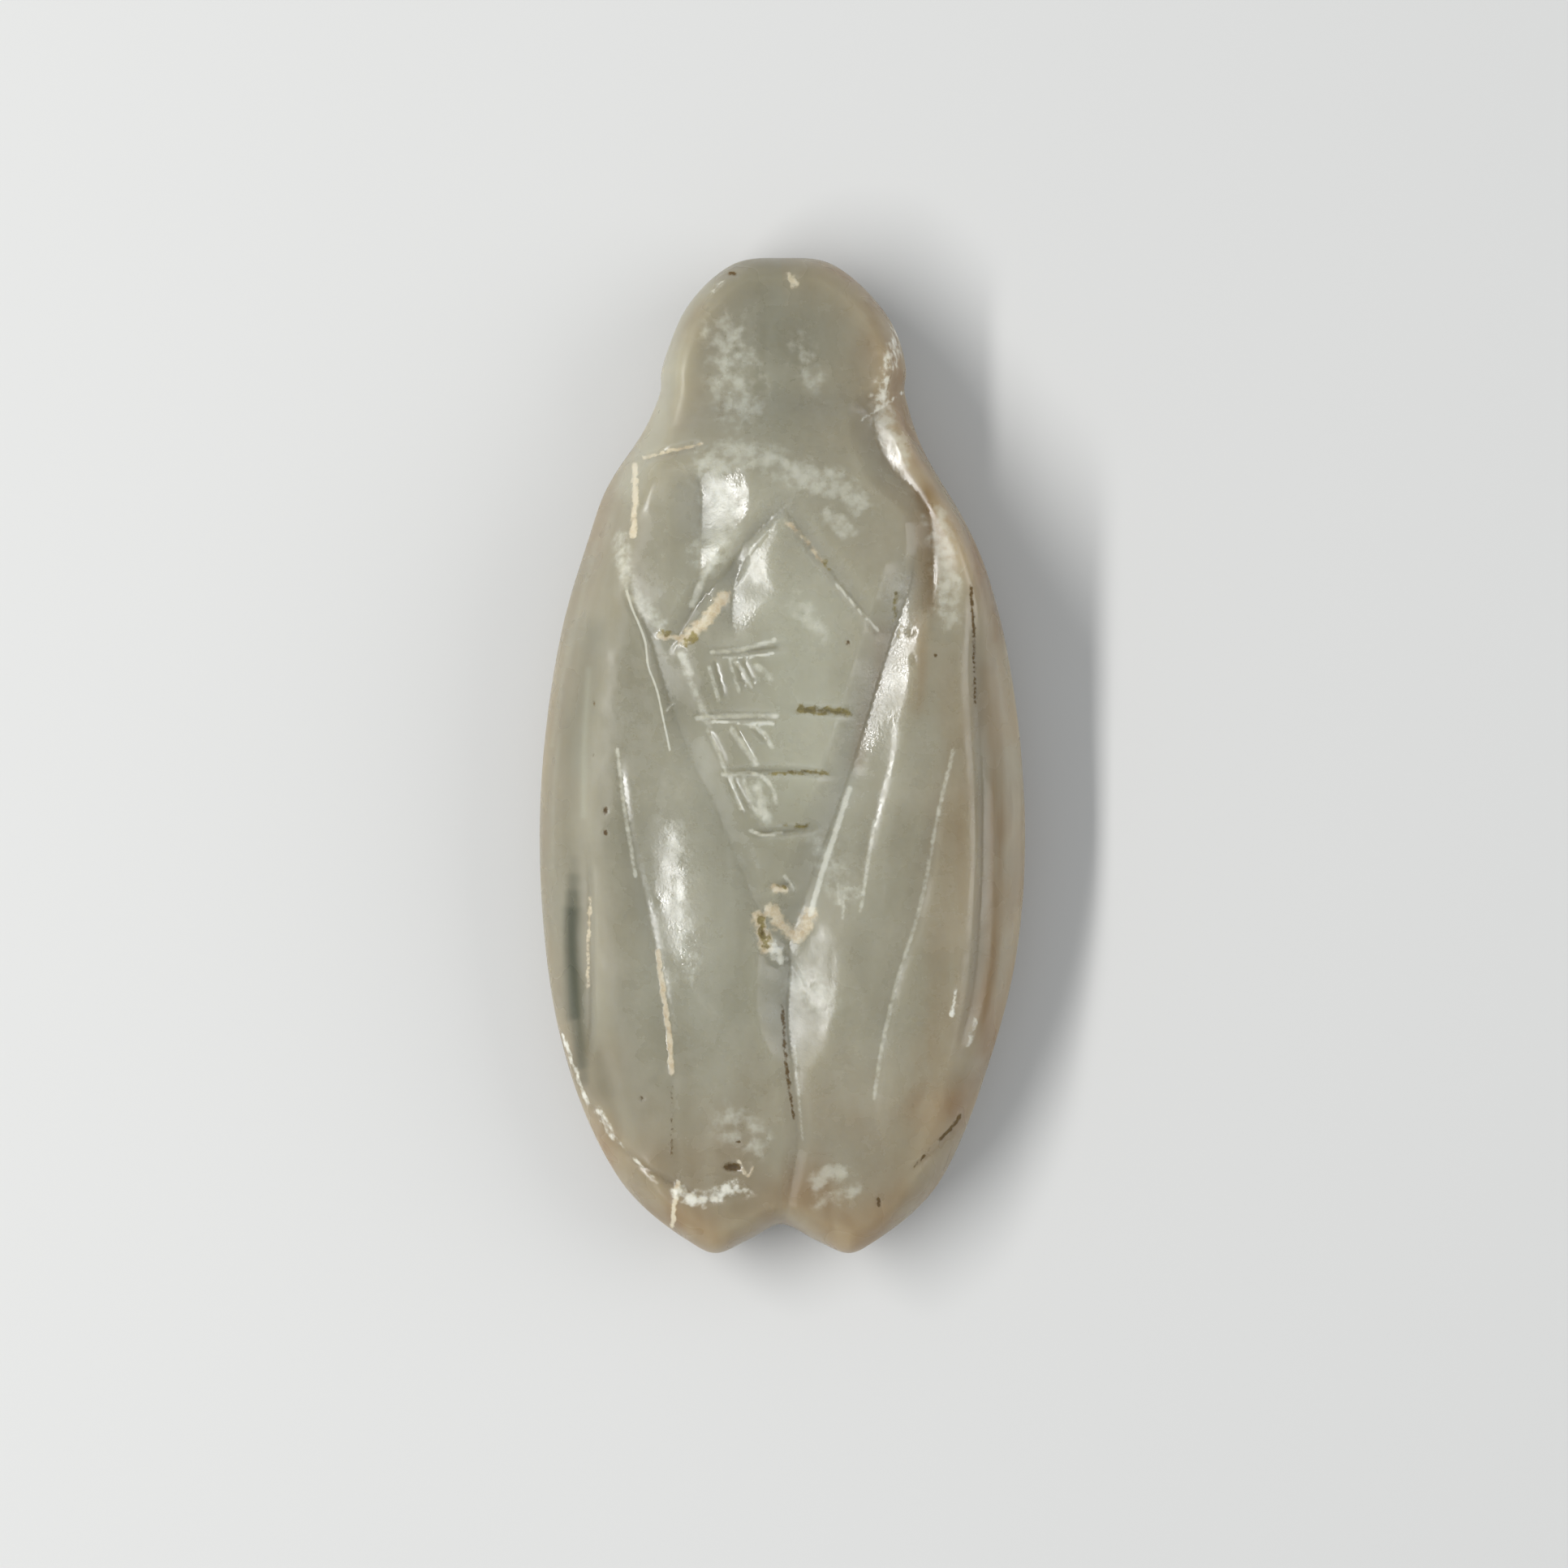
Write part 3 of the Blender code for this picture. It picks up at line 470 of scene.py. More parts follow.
FACET = (
    (-0.045, 0.232), (-0.057, 0.221), (-0.107, 0.205), (-0.167, 0.188), (-0.194, 0.172), (-0.207, 0.156),
    (-0.207, 0.135), (-0.190, 0.115),
)
FACET_DEPTH = 0.00054
FACET_INNER_FLANK = (
    (0.0, 0.0002), (0.2, 0.0007), (0.4, 0.0019), (0.55, 0.0024), (0.72, 0.0017), (1.0, 0.0010),
)
FACET_OUTER_FLANK = ((0.0, 0.0003), (0.4, 0.0007), (1.0, 0.0014))
FACET_STRENGTH = ((0.0, 0.1), (0.2, 0.3), (0.4, 0.8), (0.55, 1.0), (0.72, 0.85), (1.0, 0.0))
shaping_cuts.append((run_of(FACET), FACET_INNER_FLANK, FACET_OUTER_FLANK, FACET_DEPTH, FACET_STRENGTH))

SHOULDER_LINE = ((-0.600, 0.294), (-0.482, 0.301), (-0.321, 0.311))
line_cuts.append((run_of(SHOULDER_LINE), LINE_FLANK, LINE_FLANK, LINE_DEPTH, LINE_STRENGTH))

# The abdomen.
# A long triangle between the wings, ringed by short wheel cuts. The left half of it is hatched
# with shallower strokes between the rings.
ABDOMEN_LINES = (
    ((-0.288, 0.102), (-0.147, 0.104), (0.020, 0.108)),
    ((-0.345, 0.038), (-0.181, 0.039), (-0.020, 0.037)),
    ((0.060, 0.046), (0.161, 0.044), (0.270, 0.042)),
    ((-0.235, -0.018), (-0.013, -0.015), (0.200, -0.019)),
    ((-0.120, -0.077), (0.003, -0.076), (0.125, -0.071)),
    ((-0.054, -0.130), (0.045, -0.128)),
)
for path in ABDOMEN_LINES:
    line_cuts.append((run_of(path), LINE_FLANK, LINE_FLANK, LINE_DEPTH, LINE_STRENGTH))
HATCH_DEPTH = 0.00010
HATCH_FLANK = 0.00026
HATCHES = (
    ((-0.281, 0.095), (-0.237, 0.058)),
    ((-0.197, 0.097), (-0.154, 0.066)),
    ((-0.164, 0.097), (-0.114, 0.068)),
    ((-0.304, 0.025), (-0.231, -0.007)),
    ((-0.197, 0.029), (-0.114, -0.007)),
    ((-0.130, 0.029), (-0.064, 0.013)),
    ((-0.231, -0.020), (-0.154, -0.060)),
    ((-0.205, -0.020), (-0.134, -0.055)),
)
for path in HATCHES:
    line_cuts.append((run_of(path), HATCH_FLANK, HATCH_FLANK, HATCH_DEPTH, LINE_STRENGTH))

# Wear.
# Soft hand polish, never quite even, with small pits where grains fell out, chips along the
# sharp edges, and one nick in the outline below the right eye.

# Each wave's size and height in metres, and its seed
POLISH_WAVES = ((0.0060, 0.000045, 11), (0.0026, 0.000018, 12), (0.0011, 0.000005, 13))
# Each pit's place, its reach in metres across and along, and its depth
PITS = (
    ((-0.204, 0.482), (0.00034, 0.00016), 0.00016),
    ((0.040, 0.477), (0.00022, 0.00022), 0.00016),
    ((-0.722, -0.055), (0.00011, 0.00014), 0.00010),
    ((-0.722, -0.077), (0.00011, 0.00011), 0.00010),
    ((0.622, 0.100), (0.00010, 0.00010), 0.00008),
    ((0.264, 0.112), (0.00012, 0.00012), 0.00010),
    ((-0.575, -0.342), (0.00012, 0.00010), 0.00008),
    ((-0.204, -0.411), (0.00045, 0.00022), 0.00022),
    ((-0.187, -0.387), (0.00030, 0.00009), 0.00008),
    ((0.395, -0.446), (0.00009, 0.00020), 0.00010),
    ((0.524, 0.122), (0.00022, 0.00026), 0.00008),
    ((0.535, 0.095), (0.00018, 0.00034), 0.00012),
    ((-0.080, -0.176), (0.00020, 0.00042), 0.00030),
)
NICK = (0.512, 0.3655)
NICK_REACH = (0.00045, 0.00022)
NICK_DEPTH = 0.00040
PIT_STEEPNESS = 1.5


def wear_depth(points):
    """How far wear and damage lie below the fresh cut surface."""
    depth = np.zeros(len(points))
    for size, height, seed in POLISH_WAVES:
        depth += height * waver(points, size, seed)
    for place, reach, deep in (*PITS, (NICK, NICK_REACH, NICK_DEPTH)):
        away = (((points - spot(place)) / reach) ** 2).sum(1)
        depth += deep * np.exp(-(away**PIT_STEEPNESS))
    return depth


# What the ground left on it, and painted highlights.
# Pale soil packed in the cuts, brown stains at their bottoms, white beads of lime along the wing
# margins, bruised, whitened spots, and painted highlights laid with the lime, bruises and frost.

# Each streak: its run, half its width in metres, and its strength
SOIL = (
    (((-0.605, 0.290), (-0.602, 0.258), (-0.605, 0.218)), 0.00021, 0.9),
    (((-0.569, 0.297), (-0.448, 0.304), (-0.328, 0.310)), 0.00012, 0.8),
    (((-0.508, -0.195), (-0.488, -0.232), (-0.465, -0.272), (-0.452, -0.317)), 0.00016, 1.0),
    (((-0.428, -0.427), (-0.441, -0.448), (-0.452, -0.471)), 0.00016, 0.9),
    (((-0.783, -0.142), (-0.793, -0.187), (-0.796, -0.232)), 0.00012, 0.7),
    (((0.020, 0.232), (0.097, 0.213), (0.177, 0.186)), 0.00024, 0.52),
    (((-0.237, 0.158), (-0.308, 0.135), (-0.398, 0.115)), 0.00040, 1.0),
    (((-0.398, 0.115), (-0.498, 0.119)), 0.00022, 0.8),
    (((-0.097, -0.162), (-0.064, -0.191)), 0.00040, 1.0),
    (((-0.047, -0.154), (0.003, -0.170), (0.070, -0.179), (0.114, -0.158)), 0.00045, 0.9),
    (((-0.030, -0.132), (0.007, -0.134)), 0.00026, 0.9),
    (((0.030, 0.479), (0.050, 0.470)), 0.00030, 0.6),
    (((-0.180, -0.405), (-0.140, -0.420), (-0.120, -0.410)), 0.00012, 0.7),
)
# Frost: whitish wheel strokes, and painted highlight: the thin bright lines on the left ridge, the upper
# left vein, the right vein and two abdomen lines, the soft band high in the left trough and the sliver by
# the chevron's left arm.
FROST_AND_HIGHLIGHTS = (
    (((0.221, 0.169), (0.304, 0.146), (0.388, 0.124)), 0.00008, 0.8),
    (((0.274, -0.033), (0.221, -0.073), (0.161, -0.117), (0.114, -0.158)), 0.00015, 0.9),
    (((0.696, 0.005), (0.629, -0.064), (0.565, -0.146), (0.465, -0.228), (0.405, -0.293), (0.375, -0.342)),
     0.00014, 0.5),
    (((-0.672, 0.006), (-0.645, -0.050), (-0.599, -0.120)), 0.00012, 0.6),
    (((-0.659, 0.215), (-0.645, 0.190), (-0.600, 0.160), (-0.498, 0.128)), 0.00065, 0.40),
    (((-0.632, 0.162), (-0.612, 0.146), (-0.582, 0.129), (-0.559, 0.113), (-0.545, 0.088), (-0.512, 0.066),
      (-0.488, 0.040), (-0.458, 0.005)), 0.00005, 1.0),
    (((-0.410, 0.100), (-0.380, 0.080)), 0.00032, 0.5),
    (((-0.370, 0.070), (-0.321, 0.045), (-0.294, 0.030)), 0.00030, 0.38),
    (((-0.286, 0.102), (-0.165, 0.105), (-0.033, 0.114)), 0.00015, 0.62),
    (((-0.242, 0.096), (-0.147, 0.097), (-0.035, 0.101)), 0.00005, 1.0),
    (((-0.298, 0.088), (-0.258, 0.054)), 0.00014, 0.45),
    (((-0.214, 0.093), (-0.175, 0.062)), 0.00014, 0.40),
    (((-0.186, 0.092), (-0.158, 0.082), (-0.125, 0.068)), 0.00014, 0.55),
    (((-0.102, 0.088), (-0.047, 0.077)), 0.00026, 0.45),
    (((-0.348, 0.037), (-0.214, 0.039), (-0.024, 0.039)), 0.00016, 0.62),
    (((-0.309, 0.034), (-0.192, 0.032), (-0.035, 0.031)), 0.00006, 1.0),
    (((-0.331, 0.050), (-0.331, 0.042)), 0.00006, 0.5),
    (((-0.303, 0.024), (-0.270, 0.009), (-0.225, -0.020)), 0.00015, 0.50),
    (((-0.203, 0.025), (-0.158, 0.009), (-0.108, -0.008)), 0.00022, 0.58),
    (((-0.125, 0.028), (-0.080, 0.023), (-0.041, 0.008)), 0.00018, 0.50),
    (((-0.242, -0.019), (-0.091, -0.020), (-0.036, -0.035), (-0.025, -0.048)), 0.00014, 0.55),
    (((-0.214, -0.021), (-0.169, -0.053)), 0.00015, 0.48),
    (((-0.158, -0.024), (-0.114, -0.054)), 0.00016, 0.48),
    (((-0.100, -0.030), (-0.075, -0.060)), 0.00034, 0.42),
    (((-0.130, -0.075), (-0.080, -0.079), (-0.003, -0.077)), 0.00009, 0.8),
    (((0.050, -0.290), (0.083, -0.384)), 0.00010, 0.42),
    (((0.375, -0.065), (0.338, -0.125), (0.318, -0.155)), 0.00013, 0.5),
    (((0.225, -0.128), (0.232, -0.148)), 0.00012, 0.42),
    (((0.252, -0.138), (0.246, -0.162)), 0.00011, 0.42),
    (((-0.270, 0.194), (-0.298, 0.188), (-0.365, 0.149)), 0.00026, 0.5),
    (((0.010, -0.120), (0.050, -0.135)), 0.00012, 0.5),
)
STAINS = (
    (((-0.090, -0.164), (-0.068, -0.187)), 0.00028, 1.0),
    (((0.075, 0.045), (0.171, 0.044), (0.264, 0.042)), 0.00024, 1.0),
    (((-0.047, -0.018), (0.070, -0.017), (0.187, -0.018)), 0.00015, 0.8),
    (((0.010, -0.070), (0.070, -0.070), (0.120, -0.069)), 0.00012, 0.7),
    (((-0.390, 0.112), (-0.360, 0.118)), 0.00026, 0.9),
    (((-0.490, 0.122), (-0.460, 0.120)), 0.00018, 0.8),
    (((0.010, -0.131), (-0.020, -0.130)), 0.00012, 0.7),
    (((0.174, 0.190), (0.184, 0.185)), 0.00020, 0.8),
    (((0.462, 0.160), (0.455, 0.130)), 0.00016, 0.6),
    (((0.485, 0.130), (0.475, 0.118)), 0.00014, 0.6),
)
DARK_SPOTS = (
    (((0.769, 0.168), (0.779, 0.115), (0.786, 0.050)), 0.00009, 0.8),
    (((0.000, -0.248), (0.007, -0.285), (0.027, -0.330), (0.047, -0.362)), 0.00011, 0.66),
    (((0.732, -0.360), (0.689, -0.374), (0.645, -0.384)), 0.00010, 1.0),
    (((0.605, -0.392), (0.538, -0.412)), 0.00008, 0.6),
    (((-0.452, -0.330), (-0.452, -0.358), (-0.455, -0.403)), 0.00011, 0.42),
    (((-0.214, 0.482), (-0.194, 0.482)), 0.00012, 1.0),
    (((-0.722, -0.053), (-0.722, -0.057)), 0.00011, 1.0),
    (((-0.722, -0.076), (-0.722, -0.078)), 0.00011, 1.0),
    (((-0.766, 0.052), (-0.766, 0.050)), 0.00009, 0.8),
    (((-0.770, 0.000), (-0.770, -0.002)), 0.00008, 0.7),
    (((0.622, 0.100), (0.623, 0.099)), 0.00010, 0.9),
    (((0.264, 0.112), (0.265, 0.111)), 0.00010, 0.9),
    (((-0.575, -0.341), (-0.575, -0.343)), 0.00010, 0.8),
    (((-0.225, -0.411), (-0.185, -0.411)), 0.00022, 1.0),
    (((-0.200, -0.387), (-0.174, -0.386)), 0.00006, 0.9),
    (((0.393, -0.443), (0.396, -0.449)), 0.00008, 1.0),
)
LIME_AND_GLINTS = (
    (((-0.903, -0.281), (-0.856, -0.311), (-0.803, -0.348)), 0.00017, 0.62),
    (((-0.756, -0.355), (-0.692, -0.381)), 0.00024, 0.70),
    (((-0.692, -0.381), (-0.599, -0.405), (-0.508, -0.427)), 0.00013, 0.50),
    (((-0.428, -0.437), (-0.314, -0.444), (-0.214, -0.432), (-0.144, -0.436)), 0.00050, 0.68),
    (((0.472, 0.433), (0.455, 0.400), (0.421, 0.376), (0.388, 0.352)), 0.00055, 0.55),
    (((0.498, 0.365), (0.405, 0.347), (0.321, 0.335)), 0.00010, 0.55),
    # Painted highlight: these two short white streaks on the right wing are glints, laid as lime.
    (((0.709, -0.232), (0.692, -0.259)), 0.00012, 0.9),
    (((0.789, -0.264), (0.763, -0.289)), 0.00020, 0.55),
    (((-0.288, 0.464), (-0.237, 0.474)), 0.00018, 0.6),
    (((-0.040, -0.190), (-0.010, -0.200)), 0.00050, 0.7),
    (((-0.470, 0.045), (-0.440, 0.052)), 0.00012, 0.6),
)
# Bruises: whitened, mottled spots, and painted highlight where they lie on the head's left side, the
# thorax's left side, the right shoulder and the inner lobes of both wings.
BRUISES_AND_HIGHLIGHTS = (
    (((-0.240, 0.417), (-0.190, 0.376), (-0.175, 0.352)), 0.00170, 0.6),
    (((0.070, 0.409), (0.120, 0.376)), 0.00120, 0.35),
    (((-0.214, 0.303), (-0.013, 0.290), (0.100, 0.276)), 0.00100, 0.66),
    (((0.060, 0.283), (0.150, 0.270)), 0.00090, 0.85),
    (((0.200, 0.275), (0.321, 0.250)), 0.00080, 0.75),
    (((0.187, 0.237), (0.254, 0.225)), 0.00070, 0.7),
    (((0.070, 0.152), (0.137, 0.123)), 0.00080, 0.6),
    (((-0.290, 0.285), (-0.240, 0.250), (-0.290, 0.205)), 0.00120, 0.8),
    (((0.400, 0.340), (0.480, 0.300)), 0.00080, 0.7),
    (((0.630, 0.235), (0.660, 0.190), (0.680, 0.140)), 0.00090, 0.7),
    (((-0.440, -0.080), (-0.430, -0.150), (-0.380, -0.215)), 0.00080, 0.5),
    (((0.060, -0.225), (0.160, -0.240)), 0.00110, 0.6),
    (((-0.220, -0.365), (-0.120, -0.385)), 0.00130, 0.5),
    (((0.160, -0.090), (0.260, -0.140)), 0.00100, 0.5),
    (((-0.110, -0.035), (-0.080, -0.060)), 0.00060, 0.7),
    (((0.147, -0.424), (0.237, -0.415)), 0.00055, 0.9),
    (((0.147, -0.445), (0.237, -0.442), (0.304, -0.433)), 0.00060, 0.5),
)
# Colour in the stone itself, laid as streaks too: brown and grey bands, and pale veils, with painted light
# among them where noted
BANDS_AND_SHADE = (
    (((0.829, 0.082), (0.863, 0.001), (0.876, -0.089), (0.863, -0.187), (0.816, -0.293)), 0.00045, 0.9),
    (((0.700, 0.060), (0.720, -0.050), (0.690, -0.180), (0.600, -0.300)), 0.00110, 0.3),
    (((0.570, 0.150), (0.560, 0.090), (0.530, 0.050)), 0.00060, 0.5),
    (((0.400, 0.120), (0.360, 0.060), (0.310, -0.005)), 0.00060, 0.35),
    (((-0.520, -0.430), (-0.300, -0.480)), 0.00200, 0.12),
    (((0.520, -0.420), (0.300, -0.480)), 0.00200, 0.12),
    # Painted shade: this brown band darkens the right shoulder hollow.
    (((0.575, 0.258), (0.592, 0.225), (0.598, 0.180), (0.590, 0.150)), 0.00065, 1.0),
)
# Grey bands: painted shade in the right shoulder hollow, a painted dark reflection down the left wing's
# outer edge, and darker streaks on the left rim, the head's middle, the left wing and the tail.
GREY_BANDS_AND_SHADE = (
    (((0.575, 0.258), (0.592, 0.225), (0.598, 0.180), (0.590, 0.150)), 0.00055, 0.28),
    (((-0.780, 0.120), (-0.880, 0.000), (-0.905, -0.100), (-0.870, -0.220), (-0.770, -0.330)),
     0.00130, 0.30),
    (((-0.080, 0.470), (0.080, 0.410)), 0.00380, 0.32),
    # Painted dark reflection: these five bands stack into one dark band down the left wing's outer edge.
    (((-0.850, -0.085), (-0.862, -0.187), (-0.815, -0.325)), 0.00045, 0.22),
    (((-0.853, -0.105), (-0.862, -0.187), (-0.815, -0.325)), 0.00048, 0.40),
    (((-0.856, -0.122), (-0.862, -0.187), (-0.815, -0.325)), 0.00050, 0.60),
    (((-0.858, -0.138), (-0.862, -0.187), (-0.825, -0.310)), 0.00054, 0.80),
    (((-0.860, -0.155), (-0.862, -0.187), (-0.848, -0.260)), 0.00058, 1.0),
    (((-0.700, 0.160), (-0.720, 0.000), (-0.660, -0.200), (-0.550, -0.330)), 0.00340, 0.10),
    (((-0.450, -0.440), (0.000, -0.430), (0.450, -0.440)), 0.00480, 0.15),
)
# Veils: pale clouds in the stone, and painted highlight in the pale line down the left wing's knee, along
# the head's left edge and in the thin pale lines along the rim bevels.
VEILS_AND_HIGHLIGHTS = (
    (((0.090, 0.130), (0.080, 0.050), (0.060, -0.020)), 0.00280, 0.85),
    (((0.930, 0.100), (0.965, 0.000), (0.955, -0.120), (0.890, -0.260)), 0.00080, 0.45),
    (((-0.330, 0.470), (-0.420, 0.450), (-0.470, 0.410), (-0.480, 0.370), (-0.530, 0.325), (-0.640, 0.270)),
     0.00080, 0.9),
    (((-0.790, 0.085), (-0.806, 0.020), (-0.812, -0.060)), 0.00018, 0.9),
    (((-0.862, 0.130), (-0.915, 0.060), (-0.945, 0.010)), 0.00012, 0.55),
    (((-0.915, 0.020), (-0.940, -0.050), (-0.942, -0.120)), 0.00012, 0.45),
    (((-0.760, 0.215), (-0.830, 0.150), (-0.880, 0.090)), 0.00014, 0.45),
    (((0.870, 0.110), (0.915, 0.020), (0.925, -0.080), (0.900, -0.180)), 0.00014, 0.45),
)
# Where the polish has worn off, its darker tint being painted shade down the left wing's knee and bevel,
# and where the wheel's own flats are still bright
WORN_EDGES_AND_SHADE = (
    (((-0.610, 0.230), (-0.650, 0.190), (-0.730, 0.100), (-0.765, 0.000), (-0.776, -0.100),
      (-0.752, -0.200), (-0.685, -0.300), (-0.580, -0.390)), 0.00085, 1.0),
    (((-0.380, 0.430), (-0.395, 0.405), (-0.415, 0.370), (-0.445, 0.330)), 0.00070, 0.6),
    (((0.180, -0.190), (0.110, -0.230), (0.060, -0.280)), 0.00150, 0.45),
)
GROUND = (
    (((-0.334, 0.272), (-0.240, 0.262), (-0.290, 0.215)), 0.00160, 0.7),
    (((-0.020, 0.235), (-0.060, 0.190), (-0.170, 0.140)), 0.00150, 1.0),
    (((0.200, -0.200), (0.100, -0.220), (0.060, -0.280)), 0.00170, 0.5),
    (((0.520, 0.165), (0.470, 0.110), (0.360, 0.020)), 0.00100, 1.0),
    (((0.420, 0.330), (0.500, 0.285)), 0.00120, 1.0),
    (((-0.440, -0.080), (-0.420, -0.160), (-0.360, -0.220)), 0.00130, 0.9),
)
# Each patch that broke up a little: its place, its reach and its height in metres
ROUGH_PATCHES = (
    ((0.030, -0.175), (0.0019, 0.0017), 0.000050),
    ((0.500, 0.150), (0.0007, 0.0012), 0.000040),
    ((0.430, 0.310), (0.0009, 0.0014), 0.000022),
    ((-0.270, 0.275), (0.0016, 0.0020), 0.000026),
    ((-0.110, 0.180), (0.0012, 0.0016), 0.000014),
    ((0.110, -0.230), (0.0016, 0.0020), 0.000020),
    ((-0.430, -0.140), (0.0012, 0.0050), 0.000022),
    ((0.430, 0.385), (0.0010, 0.0022), 0.000035),
)
ROUGH_GRAIN = 0.00045
ROUGH_SEED = 23
LIME_RISE = 0.00010
SOIL_RISE = 0.00006
CRUST_GRAIN = 0.00050
# The lumps of a crust: the least share of its height, the swing over it, and the seed
LIME_LUMPS = (0.6, 0.9, 21)
SOIL_LUMPS = (0.7, 0.5, 22)
FADE_REACH = 2.2


def streaks(points, marks):
    """How strongly the marks cover each point, from 0 to 1."""
    cover = np.zeros(len(points))
    for pairs, half_width, strength in marks:
        path = run_of(pairs)
        reach = FADE_REACH * half_width
        near = np.flatnonzero(((points > path.min(0) - reach) & (points < path.max(0) + reach)).all(1))
        gap, _ = measure(path, points[near])
        cover[near] = np.maximum(cover[near], strength * np.exp(-((gap / half_width) ** 2)))
    return cover


def deposit_rise(points):
    """Height of crust on the surface, and of small broken spots."""
    rise = np.zeros(len(points))
    crusts = ((LIME_AND_GLINTS, LIME_RISE, LIME_LUMPS), (SOIL, SOIL_RISE, SOIL_LUMPS))
    for marks, height, (least, swing, seed) in crusts:
        rise += height * streaks(points, marks) * (least + swing * waver(points, CRUST_GRAIN, seed))
    for place, reach, height in ROUGH_PATCHES:
        away = (((points - spot(place)) / reach) ** 2).sum(1)
        rise += height * waver(points, ROUGH_GRAIN, ROUGH_SEED) * np.exp(-away)
    return rise


# The underside.
# Flat in the middle, so that the amulet lies still, and rounded up to the edge. It is cut more
# plainly than the back: a line for the neck, one down each wing, and bowed rings between them.
BELLY_ROUND = 0.0048
BELLY_LINE_DEPTH = 0.00030
BELLY_LINE_FLANK = 0.00045
BELLY_NECK = ((-0.400, 0.320), (0.0, 0.300), (0.400, 0.320))
BELLY_WING = ((0.420, 0.250), (0.360, 0.050), (0.200, -0.170), (0.040, -0.330))
BELLY_RINGS = 5
BELLY_RING_FIRST = 0.060
BELLY_RING_GAP = 0.060
BELLY_RING_BOW = 0.012
BELLY_RING_SHARE = 0.86
belly_paths = [BELLY_NECK, BELLY_WING, tuple((-across, along) for across, along in BELLY_WING)]
for i in range(BELLY_RINGS):
    along = BELLY_RING_FIRST - i * BELLY_RING_GAP
    reach = BELLY_RING_SHARE * np.interp(-along, *np.transpose([(-b, a) for a, b in BELLY_WING]))
    belly_paths.append(((-reach, along + BELLY_RING_BOW), (0.0, along), (reach, along + BELLY_RING_BOW)))
BELLY_STRENGTH = ((0.0, 0.0), (0.15, 1.0), (0.85, 1.0), (1.0, 0.0))
belly_cuts = [
    (run_of(path), BELLY_LINE_FLANK, BELLY_LINE_FLANK, BELLY_LINE_DEPTH, BELLY_STRENGTH)
    for path in belly_paths
]


def belly_height(points):
    """Height of the underside over the ground."""
    edge_gap, _ = measure(RING, points, closed=True)
    rounding = 1 - np.sqrt(1 - (1 - np.clip(edge_gap / BELLY_ROUND, 0, 1)) ** 2)
    return RIM_HEIGHT * rounding + np.max([carve(points, one) for one in belly_cuts], axis=0)


def back_height(points):
    """Height of the carved and worn back over the ground."""
    edge_gap, _ = measure(RING, points, closed=True)
    rounding = np.sqrt(1 - (1 - np.clip(edge_gap / RIM_ROUND, 0, 1)) ** 2)
    cut = sum(carve(points, one) for one in shaping_cuts)
    cut += lobe_fall(points) + head_shape(points) + wear_depth(points)
    cut += np.max([carve(points, one) for one in line_cuts], axis=0)
    return RIM_HEIGHT + (RIM_SHOULDER + uncut_back(points) - cut + deposit_rise(points)) * rounding


# The finished stone, as one closed mesh.
# The back and the underside meet along the widest line of the edge. Points follow the cuts
# closely and lie on an even grid between them.
EDGE_STEP = 0.00020
CUT_STEP = 0.00010
BACK_STEP = 0.000145
BELLY_STEP = 0.00032
BELLY_LANES = 3
BACK_INSET_ANGLES = range(12, 91, 9)
BELLY_INSET_ANGLES = range(14, 91, 9)
UNCROSSED = 0.97
OFF_RIM = 0.1
GRID_OFF_RIM = 0.5
MERGE_SHARE = 0.35
GRID_CLEAR = 0.55
SAME_POINT = 1e-9


def moved(path, distance):
    """A path moved to the right of its run by a distance, or by one for each point."""
    run = np.gradient(path, axis=0)
    right = np.stack([run[:, 1], -run[:, 0]], -1)
    right /= np.linalg.norm(right, axis=1)[:, None]
    return path + right * np.reshape(distance, (-1, 1))


def cut_rows(cut, step, lanes=1):
    """Rows of points along the bottom of a cut and its flanks, so many lanes to each flank."""
    path, left_flank, right_flank = cut[:3]
    length = np.linalg.norm(np.diff(path, axis=0), axis=1).sum()
    path = smooth_path(path, max(3, round(length / step) + 1))
    share = np.linspace(0, 1, len(path))
    rows = [path]
    for i in range(1, lanes + 1):
        rows.append(moved(path, -level(left_flank, share) * i / lanes))
        rows.append(moved(path, level(right_flank, share) * i / lanes))
    return rows


def inset_rows(ring, insets):
    """Copies of the outline set in from it, less the points where they would cross."""
    for inset in insets:
        run = np.roll(ring, -1, axis=0) - np.roll(ring, 1, axis=0)
        inward = np.stack([run[:, 1], -run[:, 0]], -1)
        row = ring + inward / np.linalg.norm(inward, axis=1)[:, None] * inset
        gap, _ = measure(RING, row, closed=True)
        yield row[gap > inset * UNCROSSED]


def plan_points(ring, rows, step):
    """The ring, then the rows without crowding, then a staggered grid between them."""
    rows = np.vstack(rows)
    gap, _ = measure(RING, rows, closed=True)
    rows = rows[gap > EDGE_STEP * OFF_RIM]
    _, first = np.unique(np.round(rows / (step * MERGE_SHARE)), axis=0, return_index=True)
    rows = rows[np.sort(first)]
    x = np.arange(-WIDTH / 2, WIDTH / 2, step)
    y = np.arange(-LENGTH / 2, LENGTH / 2, step * math.sqrt(3) / 2)
    grid = np.array([(a + (i % 2) * step / 2, b) for i, b in enumerate(y) for a in x])
    gap, _ = measure(RING, grid, closed=True)
    grid = grid[gap > EDGE_STEP * GRID_OFF_RIM]
    marked = np.vstack([ring, rows])
    tree = KDTree(len(marked))
    for i, p in enumerate(marked):
        tree.insert((p[0], p[1], 0), i)
    tree.balance()
    clear = [tree.find((p[0], p[1], 0))[2] > step * GRID_CLEAR for p in grid]
    return np.vstack([marked, grid[clear]])


